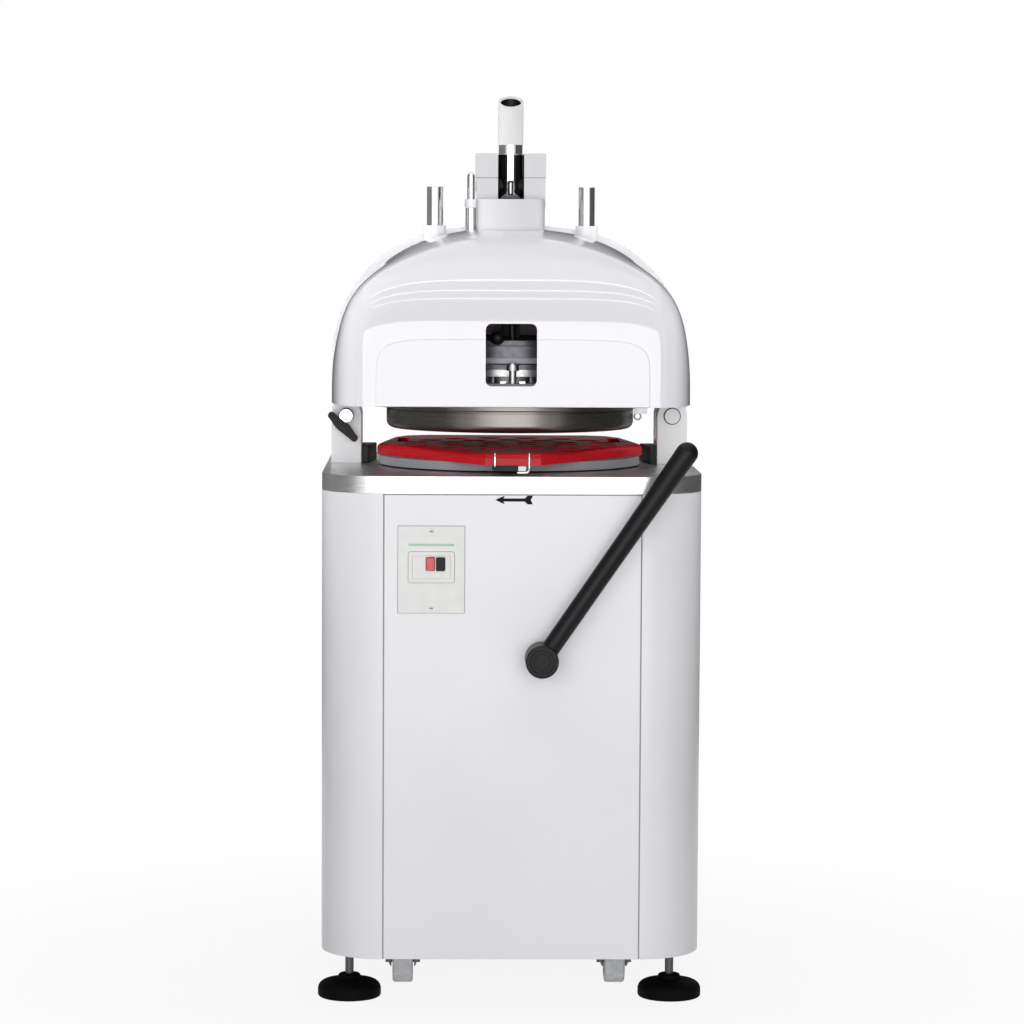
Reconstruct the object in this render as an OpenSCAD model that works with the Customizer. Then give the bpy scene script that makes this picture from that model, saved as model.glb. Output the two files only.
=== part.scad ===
// Divider rounder: a floor-standing bakery machine. A cabinet carries an orbiting table with a mould plate,
// and a tilting head above it presses, cuts and rounds the dough.
// Millimetres, +Z up. The origin is on the floor under the press axis, and the front faces -Y.

/* [Cabinet] */
// Width of the cabinet
cab_w = 620; // [600:1:660]
// Depth of the cabinet
cab_d = 650; // [640:1:700]
// Distance from the press axis to the front face
front_reach = 300; // [290:1:320]
// Height of the lower edge of the panels
cab_bottom = 81; // [70:1:95]
// Height of the worktop
worktop_h = 866; // [840:1:900]
// Height of the worktop's folded band
band_h = 28; // [20:1:40]
// Outer radius of the two front corners
corner_r = 102; // [85:1:102]
// Thickness of the sheet panels
sheet_t = 2; // [1.5:0.1:3]
// Thickness of the worktop skin
skin_t = 3; // [2:0.5:4]
// Width of the front panel
front_panel_w = 413; // [380:1:413]
// Depth of the front panel's folded edges
fold_d = 18; // [10:1:24]
// Open seam between panels
seam = 2; // [1:0.5:3]
// Width of the side panels' folds at the rear
rear_fold = 27; // [20:1:40]
// Height of the base plate's underside
base_z = 100; // [96:1:110]
// Thickness of the base plate
base_t = 8; // [6:1:12]
// Thickness of the side plates
side_plate_t = 8; // [6:1:12]
// Depth of the bed plate's top below the worktop
bed_drop = 334; // [330:1:366]
// Thickness of the bed plate
bed_t = 12; // [8:1:16]
// Across flats of the cable gland
gland_w = 28; // [24:1:34]
// Length of the cable gland outside the rear panel
gland_l = 20; // [16:1:26]
// Bore of the cable gland
gland_bore = 10; // [8:0.5:12]

/* [Control] */
// Sideways place of the control plate's middle
control_x = -131; // [-140:1:-120]
// Depth of the control plate's middle below the worktop
control_drop = 150; // [136:1:166]
// Height of the switch bezel's middle above the plate's middle
bezel_up = 4; // [0:1:10]
// Width of the control plate
control_w = 107; // [100:1:116]
// Height of the control plate
control_h = 140; // [120:1:150]
// Thickness of the control plate
control_t = 3; // [2:0.5:4]
// Width of the switch bezel
bezel_w = 74; // [70:1:80]
// Height of the switch bezel
bezel_h = 50; // [44:1:56]
// Width of the switch bezel's rim
bezel_rim = 4.5; // [3:0.5:6]
// Width of a push button
button_w = 13.5; // [11:0.5:14]
// Height of a push button
button_h = 21; // [18:1:24]
// Travel of a push button
button_travel = 3; // [2:0.5:4]

/* [Rounding lever] */
// Sideways place of the lever shaft
lever_x = 46.5; // [40:0.5:60]
// Depth of the lever shaft below the worktop
lever_drop = 291.5; // [276:0.5:296]
// Length of the lever between the hub and the tip
lever_l = 404; // [360:1:410]
// Lean of the lever to the right at rest
lever_lean = 34.5; // [30:0.5:38]
// Radius of the lever's hub
lever_hub_r = 26.5; // [24:0.5:30]
// Radius of the lever's arm at the hub
lever_root_r = 15; // [13.5:0.5:16]
// Radius of the lever's rounded tip
lever_tip_r = 18; // [16:0.5:19]
// Distance of the arm's middle in front of the panel
lever_stand = 48; // [44:1:52]
// Radius of the lever shaft
lever_shaft_r = 12; // [10:0.5:14]
// Swing of the lever
lever_swing = 70; // [50:1:80]
// Lift of the table over the whole swing
lift_h = 8; // [5:0.5:8]
// Radius of the lift cam where it starts
cam_r = 38; // [34:1:38]
// Radius of the lift shoe's nose
shoe_r = 12; // [10:1:14]
// Width of the lift cam
cam_w = 20; // [16:1:24]

/* [Drive] */
// Radius of the table's orbit
orbit_r = 12; // [8:1:12]
// Distance of a guide post from the middle
post_x = 170; // [150:1:190]
// Radius of a guide post
post_r = 15; // [12:1:18]
// Thickness of the carriage plate
carriage_t = 20; // [16:1:20]
// Height of the carriage plate's underside above the bed plate
carriage_up = 128; // [126:1:136]
// Radius of the main shaft
shaft_r = 18; // [15:1:20]
// Outer radius of the main bearings
bearing_r = 38; // [34:1:40]
// Width of a main bearing
bearing_w = 18; // [14:1:22]
// Radius of the eccentric pin
pin_r = 14; // [10:1:16]
// Radius of an idler crank's shaft
idler_r = 9; // [7:1:11]
// Sideways distance of an idler crank
idler_x = 95; // [85:1:105]
// Distance of an idler crank behind the press axis
idler_y = 55; // [50:1:65]
// Radius of the main pulley
main_pulley_r = 88; // [80:1:92]
// Radius of the motor pulley
motor_pulley_r = 34; // [28:1:40]
// Width of the pulleys
pulley_w = 20; // [16:1:22]
// Distance of the motor behind the press axis
motor_y = 165; // [160:1:200]
// Radius of the motor's body
motor_r = 65; // [55:1:68]
// Length of the motor's body
motor_l = 135; // [110:1:140]
// Radius of the motor's shaft
motor_shaft_r = 10; // [8:1:12]
// Thickness of the belt
belt_t = 5; // [4:0.5:6]

/* [Table and mould plate] */
// Gap between the worktop and the table
table_gap = 2.5; // [2:0.5:4]
// Thickness of the table
table_t = 14.5; // [12:0.5:15]
// Radius of the table
table_r = 220; // [210:1:222]
// Thickness of the mould plate
mould_t = 18.5; // [15:0.5:18.5]
// Half width of the mould plate where it is widest
mould_half_w = 224; // [218:1:225]
// Half width of the mould plate at its back
mould_back_w = 201; // [195:1:206]
// Distance of the mould plate's back edge from the table's middle
mould_back = 262; // [250:1:264]
// Half width of the mould plate's nose
nose_half_w = 45; // [40:1:55]
// Distance of the nose's front edge from the table's middle
nose_reach = 302; // [290:1:305]
// Depth of a mould pocket
pocket_d = 3; // [2:0.5:5]
// Length of the latch under the nose
latch_l = 56; // [46:1:60]
// Width of the latch under the nose
latch_w = 42; // [34:1:44]

/* [Head] */
// Distance of a hinge or clamp pin from the middle
pin_x = 276.5; // [274:0.5:278]
// Height of the pins above the worktop
pin_up = 82; // [80:1:86]
// Radius of the hinge pin
hinge_r = 9; // [7:0.5:10]
// Radius of the clamp stud
clamp_r = 8; // [6:0.5:9]
// Width of an upright
upright_w = 51; // [46:1:51]
// Front face of the uprights behind the press axis
upright_y = 30; // [28:1:36]
// Depth of an upright
upright_d = 100; // [90:1:110]
// Thickness of an upright's cheeks
cheek_t = 12; // [8:1:16]
// Length of the clamp's wing, from end to end
wing_l = 66; // [56:1:66]
// Distance of the clamp's wing from the middle of its stud
wing_drop = 17; // [14:0.5:18]
// Distance that the clamp's wing is shifted towards its lower end
wing_shift = 9.5; // [6:0.5:10]
// Half width of the head's covers
cover_half_w = 299; // [296:0.5:300]
// Half width of the arch between the covers
arch_half_w = 301; // [300:0.5:301.5]
// Gap between the pin's axis and the covers' lower edge
cover_up = 27; // [27:0.5:32]
// Height of the covers
cover_h = 291; // [285:1:300]
// Reach of the front cover in front of the press axis
cover_reach = 250; // [245:1:262]
// Height of the covers' flat end above their lower edge
facet_h = 110; // [100:1:120]
// Half width of the covers' flat end
facet_half_w = 222; // [205:1:235]
// Thickness of the covers
cover_t = 4; // [3:0.5:5]
// Reach of the rear cover behind the uprights
rear_reach = 132; // [125:1:140]
// Sideways place of the window's middle
window_x = -3; // [-6:1:6]
// Width of the cover's window
window_w = 83; // [70:1:95]
// Height of the cover's window
window_h = 101; // [85:1:110]
// Height of the window above the cover's lower edge
window_up = 34; // [28:1:40]
// Thickness of the arch at its crown
arch_t = 56; // [50:1:60]
// Width of the arch's legs
arch_leg_w = 44; // [40:1:46]
// Thickness of the bridge under the arch
bridge_t = 20; // [16:1:24]

/* [Press] */
// Outer radius of the retaining ring
ring_r = 208; // [204:1:210]
// Wall of the retaining ring
ring_wall = 15.5; // [12:0.5:18]
// Radius of the retaining ring's flange
flange_r = 224; // [220:1:228]
// Height of the retaining ring
ring_h = 46; // [42:1:48]
// Gap between the ring's top and the covers' lower edge
ring_drop = -1; // [-2:0.5:1]
// Height of the dough chamber under the press segments
chamber_h = 30; // [24:1:32]
// Travel of the press
press_travel = 30; // [20:1:30]
// Travel of the retaining ring
ring_travel = 19; // [12:1:19]
// Travel of the knives under the press segments
knife_travel = 20; // [10:1:20]
// Thickness of a knife blade
blade_t = 1.6; // [1:0.1:2]
// Width of the slots for the blades
slot_w = 3; // [2.6:0.1:3.6]
// Thickness of the press segments
segment_t = 15; // [12:1:18]
// Radius of a segment's post
segment_post_r = 6; // [4:0.5:7]
// Thickness of the press head's upper plate
carrier_t = 20; // [14:1:22]
// Sideways distance of a guide rod
rod_x = 127.5; // [120:0.5:130]
// Radius of a guide rod
rod_r = 13.5; // [11:0.5:15]
// Height of the guide rods above the covers
rod_up = 68; // [60:1:80]
// Sideways place of the knife rod
knife_rod_x = -67; // [-70:0.5:-66.5]
// Radius of the knife rod
knife_rod_r = 6.5; // [5:0.5:7]
// Height of the knife rod above the covers
knife_rod_up = 92; // [80:1:100]
// Radius of the press column
column_r = 16; // [13:1:18]

/* [Press lever] */
// Radius of the hub on the head
hub_r = 57; // [52:0.5:57]
// Height of the hub's top above the covers
hub_up = 47; // [44:1:52]
// Height of the housing above the hub
housing_h = 77; // [74:1:84]
// Half width of the housing
housing_half_w = 58; // [56:1:62]
// Height of the lever's pivot above the hub
pivot_up = 23; // [22.5:0.5:26]
// Module of the pinions and racks
gear_module = 3; // [2.5:0.1:3]
// Number of teeth on a pinion
pinion_teeth = 19; // [18:1:19]
// Swing of the press lever
press_swing = 60; // [40:1:60]
// Slant of the grip's end, facing the front
grip_slant = 26; // [15:1:30]
// Radius of the press lever's tube
tube_r = 20; // [16:0.5:20]
// Radius of the press lever's grip
grip_r = 21.4; // [20.5:0.1:21.8]
// Distance from the pivot to the grip
grip_from = 69; // [60:1:80]
// Length of the grip along its middle
grip_l = 73; // [60:1:100]
// Radius of the pinion shaft
pinion_shaft_r = 9; // [7:0.5:10]
// Radius of the catch lever's ball knob
ball_r = 12; // [10:0.5:13]
// Wire radius of the return spring
wire_r = 3; // [2:0.5:3.5]
// Turns of the return spring
spring_turns = 8; // [6:1:10]

/* [Feet and casters] */
// Distance of a foot from the cabinet's side
foot_in = 46; // [40:1:55]
// Distance of a foot behind the front face
foot_front = 100; // [94:1:110]
// Radius of a foot's pad
pad_r = 52; // [44:1:52]
// Height of a foot's pad
pad_h = 38; // [32:1:44]
// Radius of a foot's stud
stud_r = 7; // [5:0.5:8]
// Distance of a front caster from the cabinet's side
caster_in = 133; // [130:1:145]
// Distance of a front caster's swivel behind the front face
caster_front = 170; // [164:1:180]
// Distance of a rear caster from the cabinet's side
rear_caster_in = 80; // [70:1:110]
// Distance of a rear caster in front of the rear face
rear_caster_back = 60; // [55:1:80]
// Radius of a caster's wheel
wheel_r = 38; // [34:0.5:38]
// Width of a caster's wheel
wheel_w = 34; // [28:1:36]
// Trail of the swivelling casters
trail = 20; // [14:1:20]
// Height of the front wheels above the floor
wheel_lift = 4; // [2:0.5:6]

/* [Clearances] */
// Radial gap of a shaft in its bearing
run = 0.05; // [0.02:0.01:0.1]
// Gap between pieces that lie beside each other
ease = 0.3; // [0.2:0.05:0.6]

/* [Hidden] */
$fn = 96;

white_paint = "whitesmoke";
plain_steel = "silver";
dark_steel = "dimgray";
black_plastic = [0.08, 0.08, 0.08];

// Cabinet
front_y = -front_reach;
back_y = cab_d - front_reach;
band_z = worktop_h - band_h;
half_w = cab_w / 2;
base_top = base_z + base_t;
skin_z = worktop_h - skin_t;
side_in = half_w - sheet_t - 8 - side_plate_t;
panel_fit = sheet_t + ease;
bed_top = worktop_h - bed_drop;
bed_y = [front_y + 130, back_y - 50];
gland_x = half_w - 110;
gland_z = base_top + 60;
vent_z = base_top + 192;

// Control
control_z = worktop_h - control_drop;
control_face = front_y - control_t;
bezel_face = control_face - 3;
bezel_z = control_z + bezel_up;
button_stop_x = control_x - 1.5;
button_start_x = control_x + button_w + 1.5;
button_z = bezel_z + 5;
switch_back = front_y + 58;

// Rounding lever and carriage
lever_z = worktop_h - lever_drop;
lever_y = front_y - lever_stand;
carriage_z = bed_top + carriage_up;
carriage_top = carriage_z + carriage_t;
cam_y = front_y + 175;
cam_rise = lift_h / lever_swing;
bearing_block_y = cam_y - 4;
idler_places = [[-idler_x, idler_y], [idler_x, idler_y]];
housing_top = carriage_top + 106;
post_top = carriage_top + 120;
crank_t = 14;
crank_top = housing_top + 4 + crank_t;
pulley_z = carriage_z - 6 - pulley_w;

// Table and mould plate
table_z = worktop_h + table_gap;
table_top = table_z + table_t;
table_at = [0, orbit_r];
mould_z = table_top + ease;
mould_top = mould_z + mould_t;
table_hub_r = pin_r + 20;
socket_r = idler_r + 7;
pin_top = skin_z - 5;
latch_t = 10;
back_corner = mould_back - 72;

// Head
pin_z = worktop_h + pin_up;
cheek_r = upright_w / 2;
slot_z = worktop_h + 39;
upright_back = upright_y + upright_d;
cover_z = pin_z + cover_up;
cover_top = cover_z + cover_h;
arch_spring = cover_z + 71;
cover_spring = cover_z + 8;
arch_top = cover_top + 6;
leg_in = arch_half_w - arch_leg_w;
bridge_top = arch_top - arch_t;
bridge_z = bridge_top - bridge_t;
head_plate_z = cover_z + 25;
head_plate_t = 12;
lug_gap = cheek_t + 2;

// Press
ring_top = cover_z - ring_drop;
ring_z = ring_top - ring_h;
ring_in = ring_r - ring_wall;
press_r = ring_in - 1.5;
segment_z = ring_z + chamber_h;
knife_plate_z = head_plate_z + head_plate_t + 22;
knife_plate_t = 8;
carrier_z = knife_plate_z + knife_plate_t + 10;
carrier_top = carrier_z + carrier_t;
counts = [4, 10, 16];
inner_cut_r = press_r * sqrt(counts[0] / 30);
outer_cut_r = press_r * sqrt((counts[0] + counts[1]) / 30);
cut_radii = [0, inner_cut_r, outer_cut_r, press_r];
post_radii = [for (i = [0:2]) (cut_radii[i] + cut_radii[i + 1]) / 2 + (i == 0 ? 6 : 0)];
hanger_r = ring_r + 6;
rod_places = [[-rod_x, 0], [rod_x, 0]];

// Press lever
hub_top = cover_top + hub_up;
pitch_r = gear_module * pinion_teeth / 2;
pivot_y = 16.5 + pitch_r;
pivot_z = hub_top + pivot_up;
housing_top_z = hub_top + housing_h;
housing_floor = hub_top - 14;
cheek_in = tube_r + 2;
gear_in = cheek_in + 6;
gear_w = 14;
cup_z = bridge_z - 88;
cup_floor = 12;
hub_bore = hub_r - 6;
crosshead_z = hub_top - 28;
crosshead_t = 10;
spring_r = hub_bore - wire_r - 3.5;

// Feet and casters
foot_x = half_w - foot_in;
foot_y = front_reach - foot_front;
caster_x = half_w - caster_in;
caster_y = front_reach - caster_front;
rear_caster_x = half_w - rear_caster_in;
rear_caster_y = back_y - rear_caster_back;
axle_r = 5;
fork_gap = wheel_w / 2 + 2;
fork_t = 4;
sides = [-1, 1];

// A block between two corners
module block(x, y, z) {
  translate([x[0], y[0], z[0]])
    cube([x[1] - x[0], y[1] - y[0], z[1] - z[0]]);
}

// An upright cylinder
module rod(at, r, z) {
  translate([at[0], at[1], z[0]])
    cylinder(r = r, h = z[1] - z[0]);
}

// An upright tube
module pipe(at, r, bore, z) {
  difference() {
    rod(at, r, z);
    rod(at, bore, [z[0] - 1, z[1] + 1]);
  }
}

// A cylinder from front to back
module rod_y(x, z, r, y) {
  translate([x, y[0], z])
    rotate([-90, 0, 0])
      cylinder(r = r, h = y[1] - y[0]);
}

// A cylinder from left to right
module rod_x(y, z, r, x) {
  translate([x[0], y, z])
    rotate([0, 90, 0])
      cylinder(r = r, h = x[1] - x[0]);
}

// The pair of numbers for a side, in rising order
function span(s, a, b) = s > 0 ? [a, b] : [-b, -a];

// Plan of the cabinet, with rounded front corners, drawn in from the outside
module cabinet_plan(inset) {
  r = corner_r - inset;
  half = half_w - inset;
  y0 = front_y + inset;
  y1 = back_y - inset;
  translate([-half, y0 + r])
    square([2 * half, y1 - y0 - r]);
  translate([-half + r, y0])
    square([2 * (half - r), r]);
  for (s = sides)
    translate([s * (half - r), y0 + r])
      circle(r);
}

// Wall of the cabinet seen from above
module cabinet_wall() {
  difference() {
    cabinet_plan(0);
    cabinet_plan(sheet_t);
  }
}

module base_plate() {
  color(dark_steel)
    difference() {
      union() {
        translate([0, 0, base_z])
          linear_extrude(base_t)
            cabinet_plan(panel_fit);
        for (s = sides)
          rod([s * foot_x, -foot_y], stud_r + 7, [base_top, base_top + 14]);
      }
      for (s = sides) {
        rod([s * foot_x, -foot_y], stud_r + run, [base_z - 1, base_top + 15]);
        rod([s * caster_x, -caster_y], 6 + run, [base_z - 1, base_top + 1]);
      }
    }
}

module side_plates() {
  color(dark_steel)
    for (s = sides)
      block(span(s, side_in, side_in + side_plate_t), [front_y + corner_r + 10, back_y - 10], [base_top, skin_z]);
}

module bed_plate() {
  color(dark_steel)
    block([-side_in, side_in], bed_y, [bed_top - bed_t, bed_top]);
}

module side_panel(s) {
  front_cut = front_panel_w / 2 + seam;
  rear_cut = half_w - rear_fold;
  color(white_paint)
    translate([0, 0, cab_bottom])
      linear_extrude(band_z - cab_bottom)
        difference() {
          cabinet_wall();
          translate([-front_cut, front_y - 1])
            square([2 * front_cut, sheet_t + 2]);
          translate([-rear_cut, back_y - sheet_t - 1])
            square([2 * rear_cut, sheet_t + 2]);
          translate([s > 0 ? -cab_w : 0, front_y - 1])
            square([cab_w, cab_d + 2]);
        }
}

module left_side_panel() {
  side_panel(-1);
}

module right_side_panel() {
  side_panel(1);
}

module front_panel() {
  half = front_panel_w / 2;
  color(white_paint)
    difference() {
      union() {
        block([-half, half], [front_y, front_y + sheet_t], [cab_bottom, band_z]);
        for (s = sides)
          block(span(s, half - sheet_t, half), [front_y, front_y + fold_d], [base_top + ease, band_z]);
      }
      rod_y(lever_x, lever_z, lever_shaft_r + 3, [front_y - 1, front_y + sheet_t + 1]);
      block([control_x - bezel_w / 2 + bezel_rim - ease, control_x + bezel_w / 2 - bezel_rim + ease],
            [front_y - 1, front_y + sheet_t + 1],
            [bezel_z - bezel_h / 2 + bezel_rim - ease, bezel_z + bezel_h / 2 - bezel_rim + ease]);
    }
}

module rear_panel() {
  half = half_w - rear_fold - seam;
  slots = 9;
  color(white_paint)
    difference() {
      union() {
        block([-half, half], [back_y - sheet_t, back_y], [cab_bottom, band_z]);
        for (s = sides)
          block(span(s, half - sheet_t, half), [back_y - fold_d, back_y], [base_top + ease, band_z]);
      }
      for (s = sides, i = [0:slots - 1])
        block(span(s, 40, 180), [back_y - sheet_t - 1, back_y + 1], [vent_z, vent_z + 6] + [24, 24] * i);
      rod_y(gland_x, gland_z, gland_bore / 2 + 4 + ease, [back_y - sheet_t - 1, back_y + 1]);
    }
}

module worktop() {
  color(plain_steel)
    difference() {
      union() {
        translate([0, 0, skin_z])
          linear_extrude(skin_t)
            cabinet_plan(0);
        translate([0, 0, band_z])
          linear_extrude(band_h)
            cabinet_wall();
      }
      rod([0, 0], table_hub_r + orbit_r + 8, [band_z, worktop_h + 1]);
      for (at = idler_places)
        rod(at, socket_r + orbit_r + 8, [band_z, worktop_h + 1]);
    }
}

module cable_gland() {
  color(black_plastic)
    difference() {
      union() {
        translate([gland_x, back_y, gland_z])
          rotate([-90, 0, 0])
            cylinder(d = gland_w, h = gland_l * 0.6, $fn = 6);
        rod_y(gland_x, gland_z, gland_w / 2 - 3, [back_y, back_y + gland_l]);
        rod_y(gland_x, gland_z, gland_bore / 2 + 4, [back_y - sheet_t, back_y]);
        rod_y(gland_x, gland_z, gland_w / 2, [back_y - sheet_t - 6, back_y - sheet_t]);
      }
      rod_y(gland_x, gland_z, gland_bore / 2, [back_y - sheet_t - 7, back_y + gland_l + 1]);
    }
}

// An upright with a fork for the head's lug
module upright(s, bore) {
  x = s * pin_x;
  inner = lug_gap - 2;
  color(white_paint)
    difference() {
      union() {
        block([x - cheek_r, x + cheek_r], [upright_y, upright_back], [worktop_h, pin_z]);
        rod_y(x, pin_z, cheek_r, [upright_y, upright_back]);
      }
      block([x - cheek_r - 1, x + cheek_r + 1], [upright_y + inner, upright_back - inner],
            [slot_z, pin_z + cheek_r + 1]);
      rod_y(x, pin_z, bore, [upright_y - 1, upright_back + 1]);
    }
}

module left_upright() {
  upright(-1, clamp_r + run);
}

module right_upright() {
  upright(1, hinge_r + run);
}

module plate_guides() {
  inner_x = pin_x - cheek_r;
  clear = orbit_r + 5;
  taper = (mould_half_w - mould_back_w) / back_corner;
  front_x = mould_half_w + clear - taper * (upright_y - orbit_r);
  rear_x = mould_half_w + clear - taper * (upright_back - orbit_r);
  color(black_plastic)
    for (s = sides)
      translate([0, 0, worktop_h])
        linear_extrude(30)
          polygon([[s * inner_x, upright_y], [s * front_x, upright_y], [s * rear_x, upright_back],
                   [s * inner_x, upright_back]]);
}

module control_plate() {
  screw_r = 2.5;
  color("gainsboro")
    difference() {
      union() {
        block([control_x - control_w / 2, control_x + control_w / 2], [control_face, front_y],
              [control_z - control_h / 2, control_z + control_h / 2]);
        for (s = sides)
          rod_y(control_x, control_z + s * (control_h / 2 - 8), screw_r, [control_face - 1.2, control_face]);
      }
      block([control_x - bezel_w / 2 + bezel_rim - ease, control_x + bezel_w / 2 - bezel_rim + ease],
            [control_face - 1, front_y + 1],
            [bezel_z - bezel_h / 2 + bezel_rim - ease, bezel_z + bezel_h / 2 - bezel_rim + ease]);
    }
}

// Space that a button takes, grown by a gap
module button_space(x, gap, y) {
  block([x - button_w / 2 - gap, x + button_w / 2 + gap], y,
        [button_z - button_h / 2 - gap, button_z + button_h / 2 + gap]);
}

module switch_housing() {
  in_w = bezel_w / 2 - bezel_rim;
  in_h = bezel_h / 2 - bezel_rim;
  deep = control_face + 8 + button_travel;
  color("gainsboro")
    difference() {
      union() {
        block([control_x - bezel_w / 2, control_x + bezel_w / 2], [bezel_face, control_face],
              [bezel_z - bezel_h / 2, bezel_z + bezel_h / 2]);
        block([control_x - in_w, control_x + in_w], [control_face, switch_back],
              [bezel_z - in_h, bezel_z + in_h]);
      }
      block([control_x - in_w + 2, control_x + in_w - 2], [bezel_face - 1, control_face],
            [bezel_z - in_h + 2, bezel_z + in_h - 2]);
      button_space(button_stop_x, ease, [bezel_face - 1, deep]);
      button_space(button_start_x, ease, [bezel_face - 1, deep]);
    }
}

module push_button(x) {
  button_space(x, 0, [bezel_face - 2, control_face + 8 - ease]);
}

module start_button() {
  color(black_plastic)
    push_button(button_start_x);
}

module stop_button() {
  color("crimson")
    push_button(button_stop_x);
}

module lever_bearings() {
  inside = front_y + sheet_t;
  boss_r = lever_shaft_r + 10;
  color(dark_steel)
    difference() {
      union() {
        rod_y(lever_x, lever_z, boss_r + 12, [inside, inside + 6]);
        rod_y(lever_x, lever_z, boss_r, [inside, inside + 30]);
        rod_y(lever_x, lever_z, boss_r, [bearing_block_y - 30, bearing_block_y]);
        block([lever_x - boss_r, lever_x + boss_r], [bearing_block_y - 30, bearing_block_y], [bed_top, lever_z]);
      }
      rod_y(lever_x, lever_z, lever_shaft_r + run, [inside - 1, bearing_block_y + 1]);
    }
}

// A point of the cam, so that the round shoe above it rises evenly with the turn
function cam_point(turn) =
  let (pitch = cam_r + shoe_r + cam_rise * turn)
  let (slope = cam_rise * 180 / PI)
  let (long = sqrt(pitch * pitch + slope * slope))
  let (nx = (pitch * sin(turn) - slope * cos(turn)) / long)
  let (nz = (pitch * cos(turn) + slope * sin(turn)) / long)
  [pitch * sin(turn) - (shoe_r + ease) * nx, pitch * cos(turn) - (shoe_r + ease) * nz];

module cam_shaft() {
  heel_r = lever_shaft_r + 12;
  heel = [for (a = [lever_swing + 55:15:300]) heel_r * [sin(a), cos(a)]];
  rise = [for (a = [-30:5:lever_swing + 30]) cam_point(a)];
  color(plain_steel)
    union() {
      rod_y(lever_x, lever_z, lever_shaft_r, [lever_y - 14, cam_y + cam_w + 4]);
      translate([lever_x, cam_y + cam_w, lever_z])
        rotate([90, 0, 0])
          linear_extrude(cam_w)
            polygon(concat(rise, heel));
    }
}

module rounding_lever() {
  hub_front = lever_y - 22;
  color(black_plastic)
    difference() {
      union() {
        rod_y(lever_x, lever_z, lever_hub_r, [hub_front, front_y - 8]);
        translate([lever_x, lever_y, lever_z])
          rotate([0, lever_lean, 0]) {
            cylinder(r = lever_root_r, h = lever_l - 70);
            translate([0, 0, lever_l - 70])
              cylinder(r1 = lever_root_r, r2 = lever_tip_r, h = 70);
            translate([0, 0, lever_l])
              sphere(lever_tip_r);
          }
      }
      rod_y(lever_x, lever_z, lever_shaft_r, [lever_y - 14, front_y]);
      rod_y(lever_x, lever_z, lever_hub_r - 8, [hub_front - 1, hub_front + 2]);
    }
}

module guide_posts() {
  color(plain_steel)
    for (s = sides) {
      rod([s * post_x, 0], post_r, [bed_top, post_top]);
      rod([s * post_x, 0], post_r + 13, [bed_top, bed_top + 12]);
    }
}

module carriage() {
  shoe_z = lever_z + cam_r + shoe_r;
  half = post_x + post_r + 20;
  color("slategray")
    difference() {
      union() {
        block([-half, half], [cam_y - 20, motor_y + motor_r + 6], [carriage_z, carriage_top]);
        rod([0, 0], bearing_r + 10, [carriage_top, housing_top]);
        for (s = sides)
          rod([s * post_x, 0], post_r + 9, [carriage_z - 12, carriage_top + 40]);
        for (at = idler_places)
          rod(at, idler_r + 10, [carriage_top, housing_top - 6]);
        block([lever_x - shoe_r, lever_x + shoe_r], [cam_y, cam_y + cam_w], [shoe_z, carriage_z]);
        rod_y(lever_x, shoe_z, shoe_r, [cam_y, cam_y + cam_w]);
      }
      rod([0, 0], shaft_r + 6, [carriage_z - 1, carriage_top + 1]);
      rod([0, 0], bearing_r + run, [carriage_top, housing_top + 1]);
      rod([0, motor_y], motor_shaft_r + 8, [carriage_z - 1, carriage_top + 1]);
      for (s = sides)
        rod([s * post_x, 0], post_r + run, [carriage_z - 13, carriage_top + 41]);
      for (at = idler_places)
        rod(at, idler_r + run, [carriage_z - 1, housing_top]);
    }
}

module motor() {
  top = carriage_top + motor_l;
  color("steelblue")
    difference() {
      union() {
        rod([0, motor_y], motor_r, [carriage_top, top]);
        rod([0, motor_y], motor_r - 6, [top, top + 11]);
        block([motor_r - 10, motor_r + 28], [motor_y - 35, motor_y + 35], [carriage_top + 40, top - 25]);
      }
      rod([0, motor_y], motor_shaft_r + run, [carriage_top - 1, carriage_top + 30]);
    }
}

// A pulley with two flanges
module pulley(at, r, z) {
  flange_w = 2;
  rod(at, r, [z, z + pulley_w]);
  for (low = [z, z + pulley_w - flange_w])
    rod(at, r + 3, [low, low + flange_w]);
}

module motor_rotor() {
  color(plain_steel)
    union() {
      rod([0, motor_y], motor_shaft_r, [pulley_z - 4, carriage_top + 28]);
      pulley([0, motor_y], motor_pulley_r, pulley_z);
    }
}

// Outline of a loop round both pulleys, at a distance from their faces
function belt_edge(off) =
  let (lean = asin((main_pulley_r - motor_pulley_r) / motor_y))
  let (wrap = 180 + 2 * lean)
  let (rest = 180 - 2 * lean)
  concat(
    [for (i = [0:40]) let (a = 180 - lean + wrap * i / 40) (main_pulley_r + off) * [cos(a), sin(a)]],
    [for (i = [0:24])
      let (a = lean + rest * i / 24)
      [0, motor_y] + (motor_pulley_r + off) * [cos(a), sin(a)]]
  );

module drive_belt() {
  belt_gap = 2 * ease;
  color(black_plastic)
    translate([0, 0, pulley_z + 3])
      linear_extrude(pulley_w - 6)
        difference() {
          polygon(belt_edge(belt_gap + belt_t));
          polygon(belt_edge(belt_gap));
        }
}

module main_bearings() {
  color(plain_steel)
    for (z = [carriage_top, housing_top - bearing_w])
      pipe([0, 0], bearing_r, shaft_r + run, [z, z + bearing_w]);
}

module eccentric_shaft() {
  color(plain_steel)
    union() {
      rod([0, 0], shaft_r, [pulley_z - 4, crank_top - crank_t]);
      rod([0, 0], pin_r + orbit_r + 8, [crank_top - crank_t, crank_top]);
      rod(table_at, pin_r, [crank_top, pin_top]);
    }
}

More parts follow.
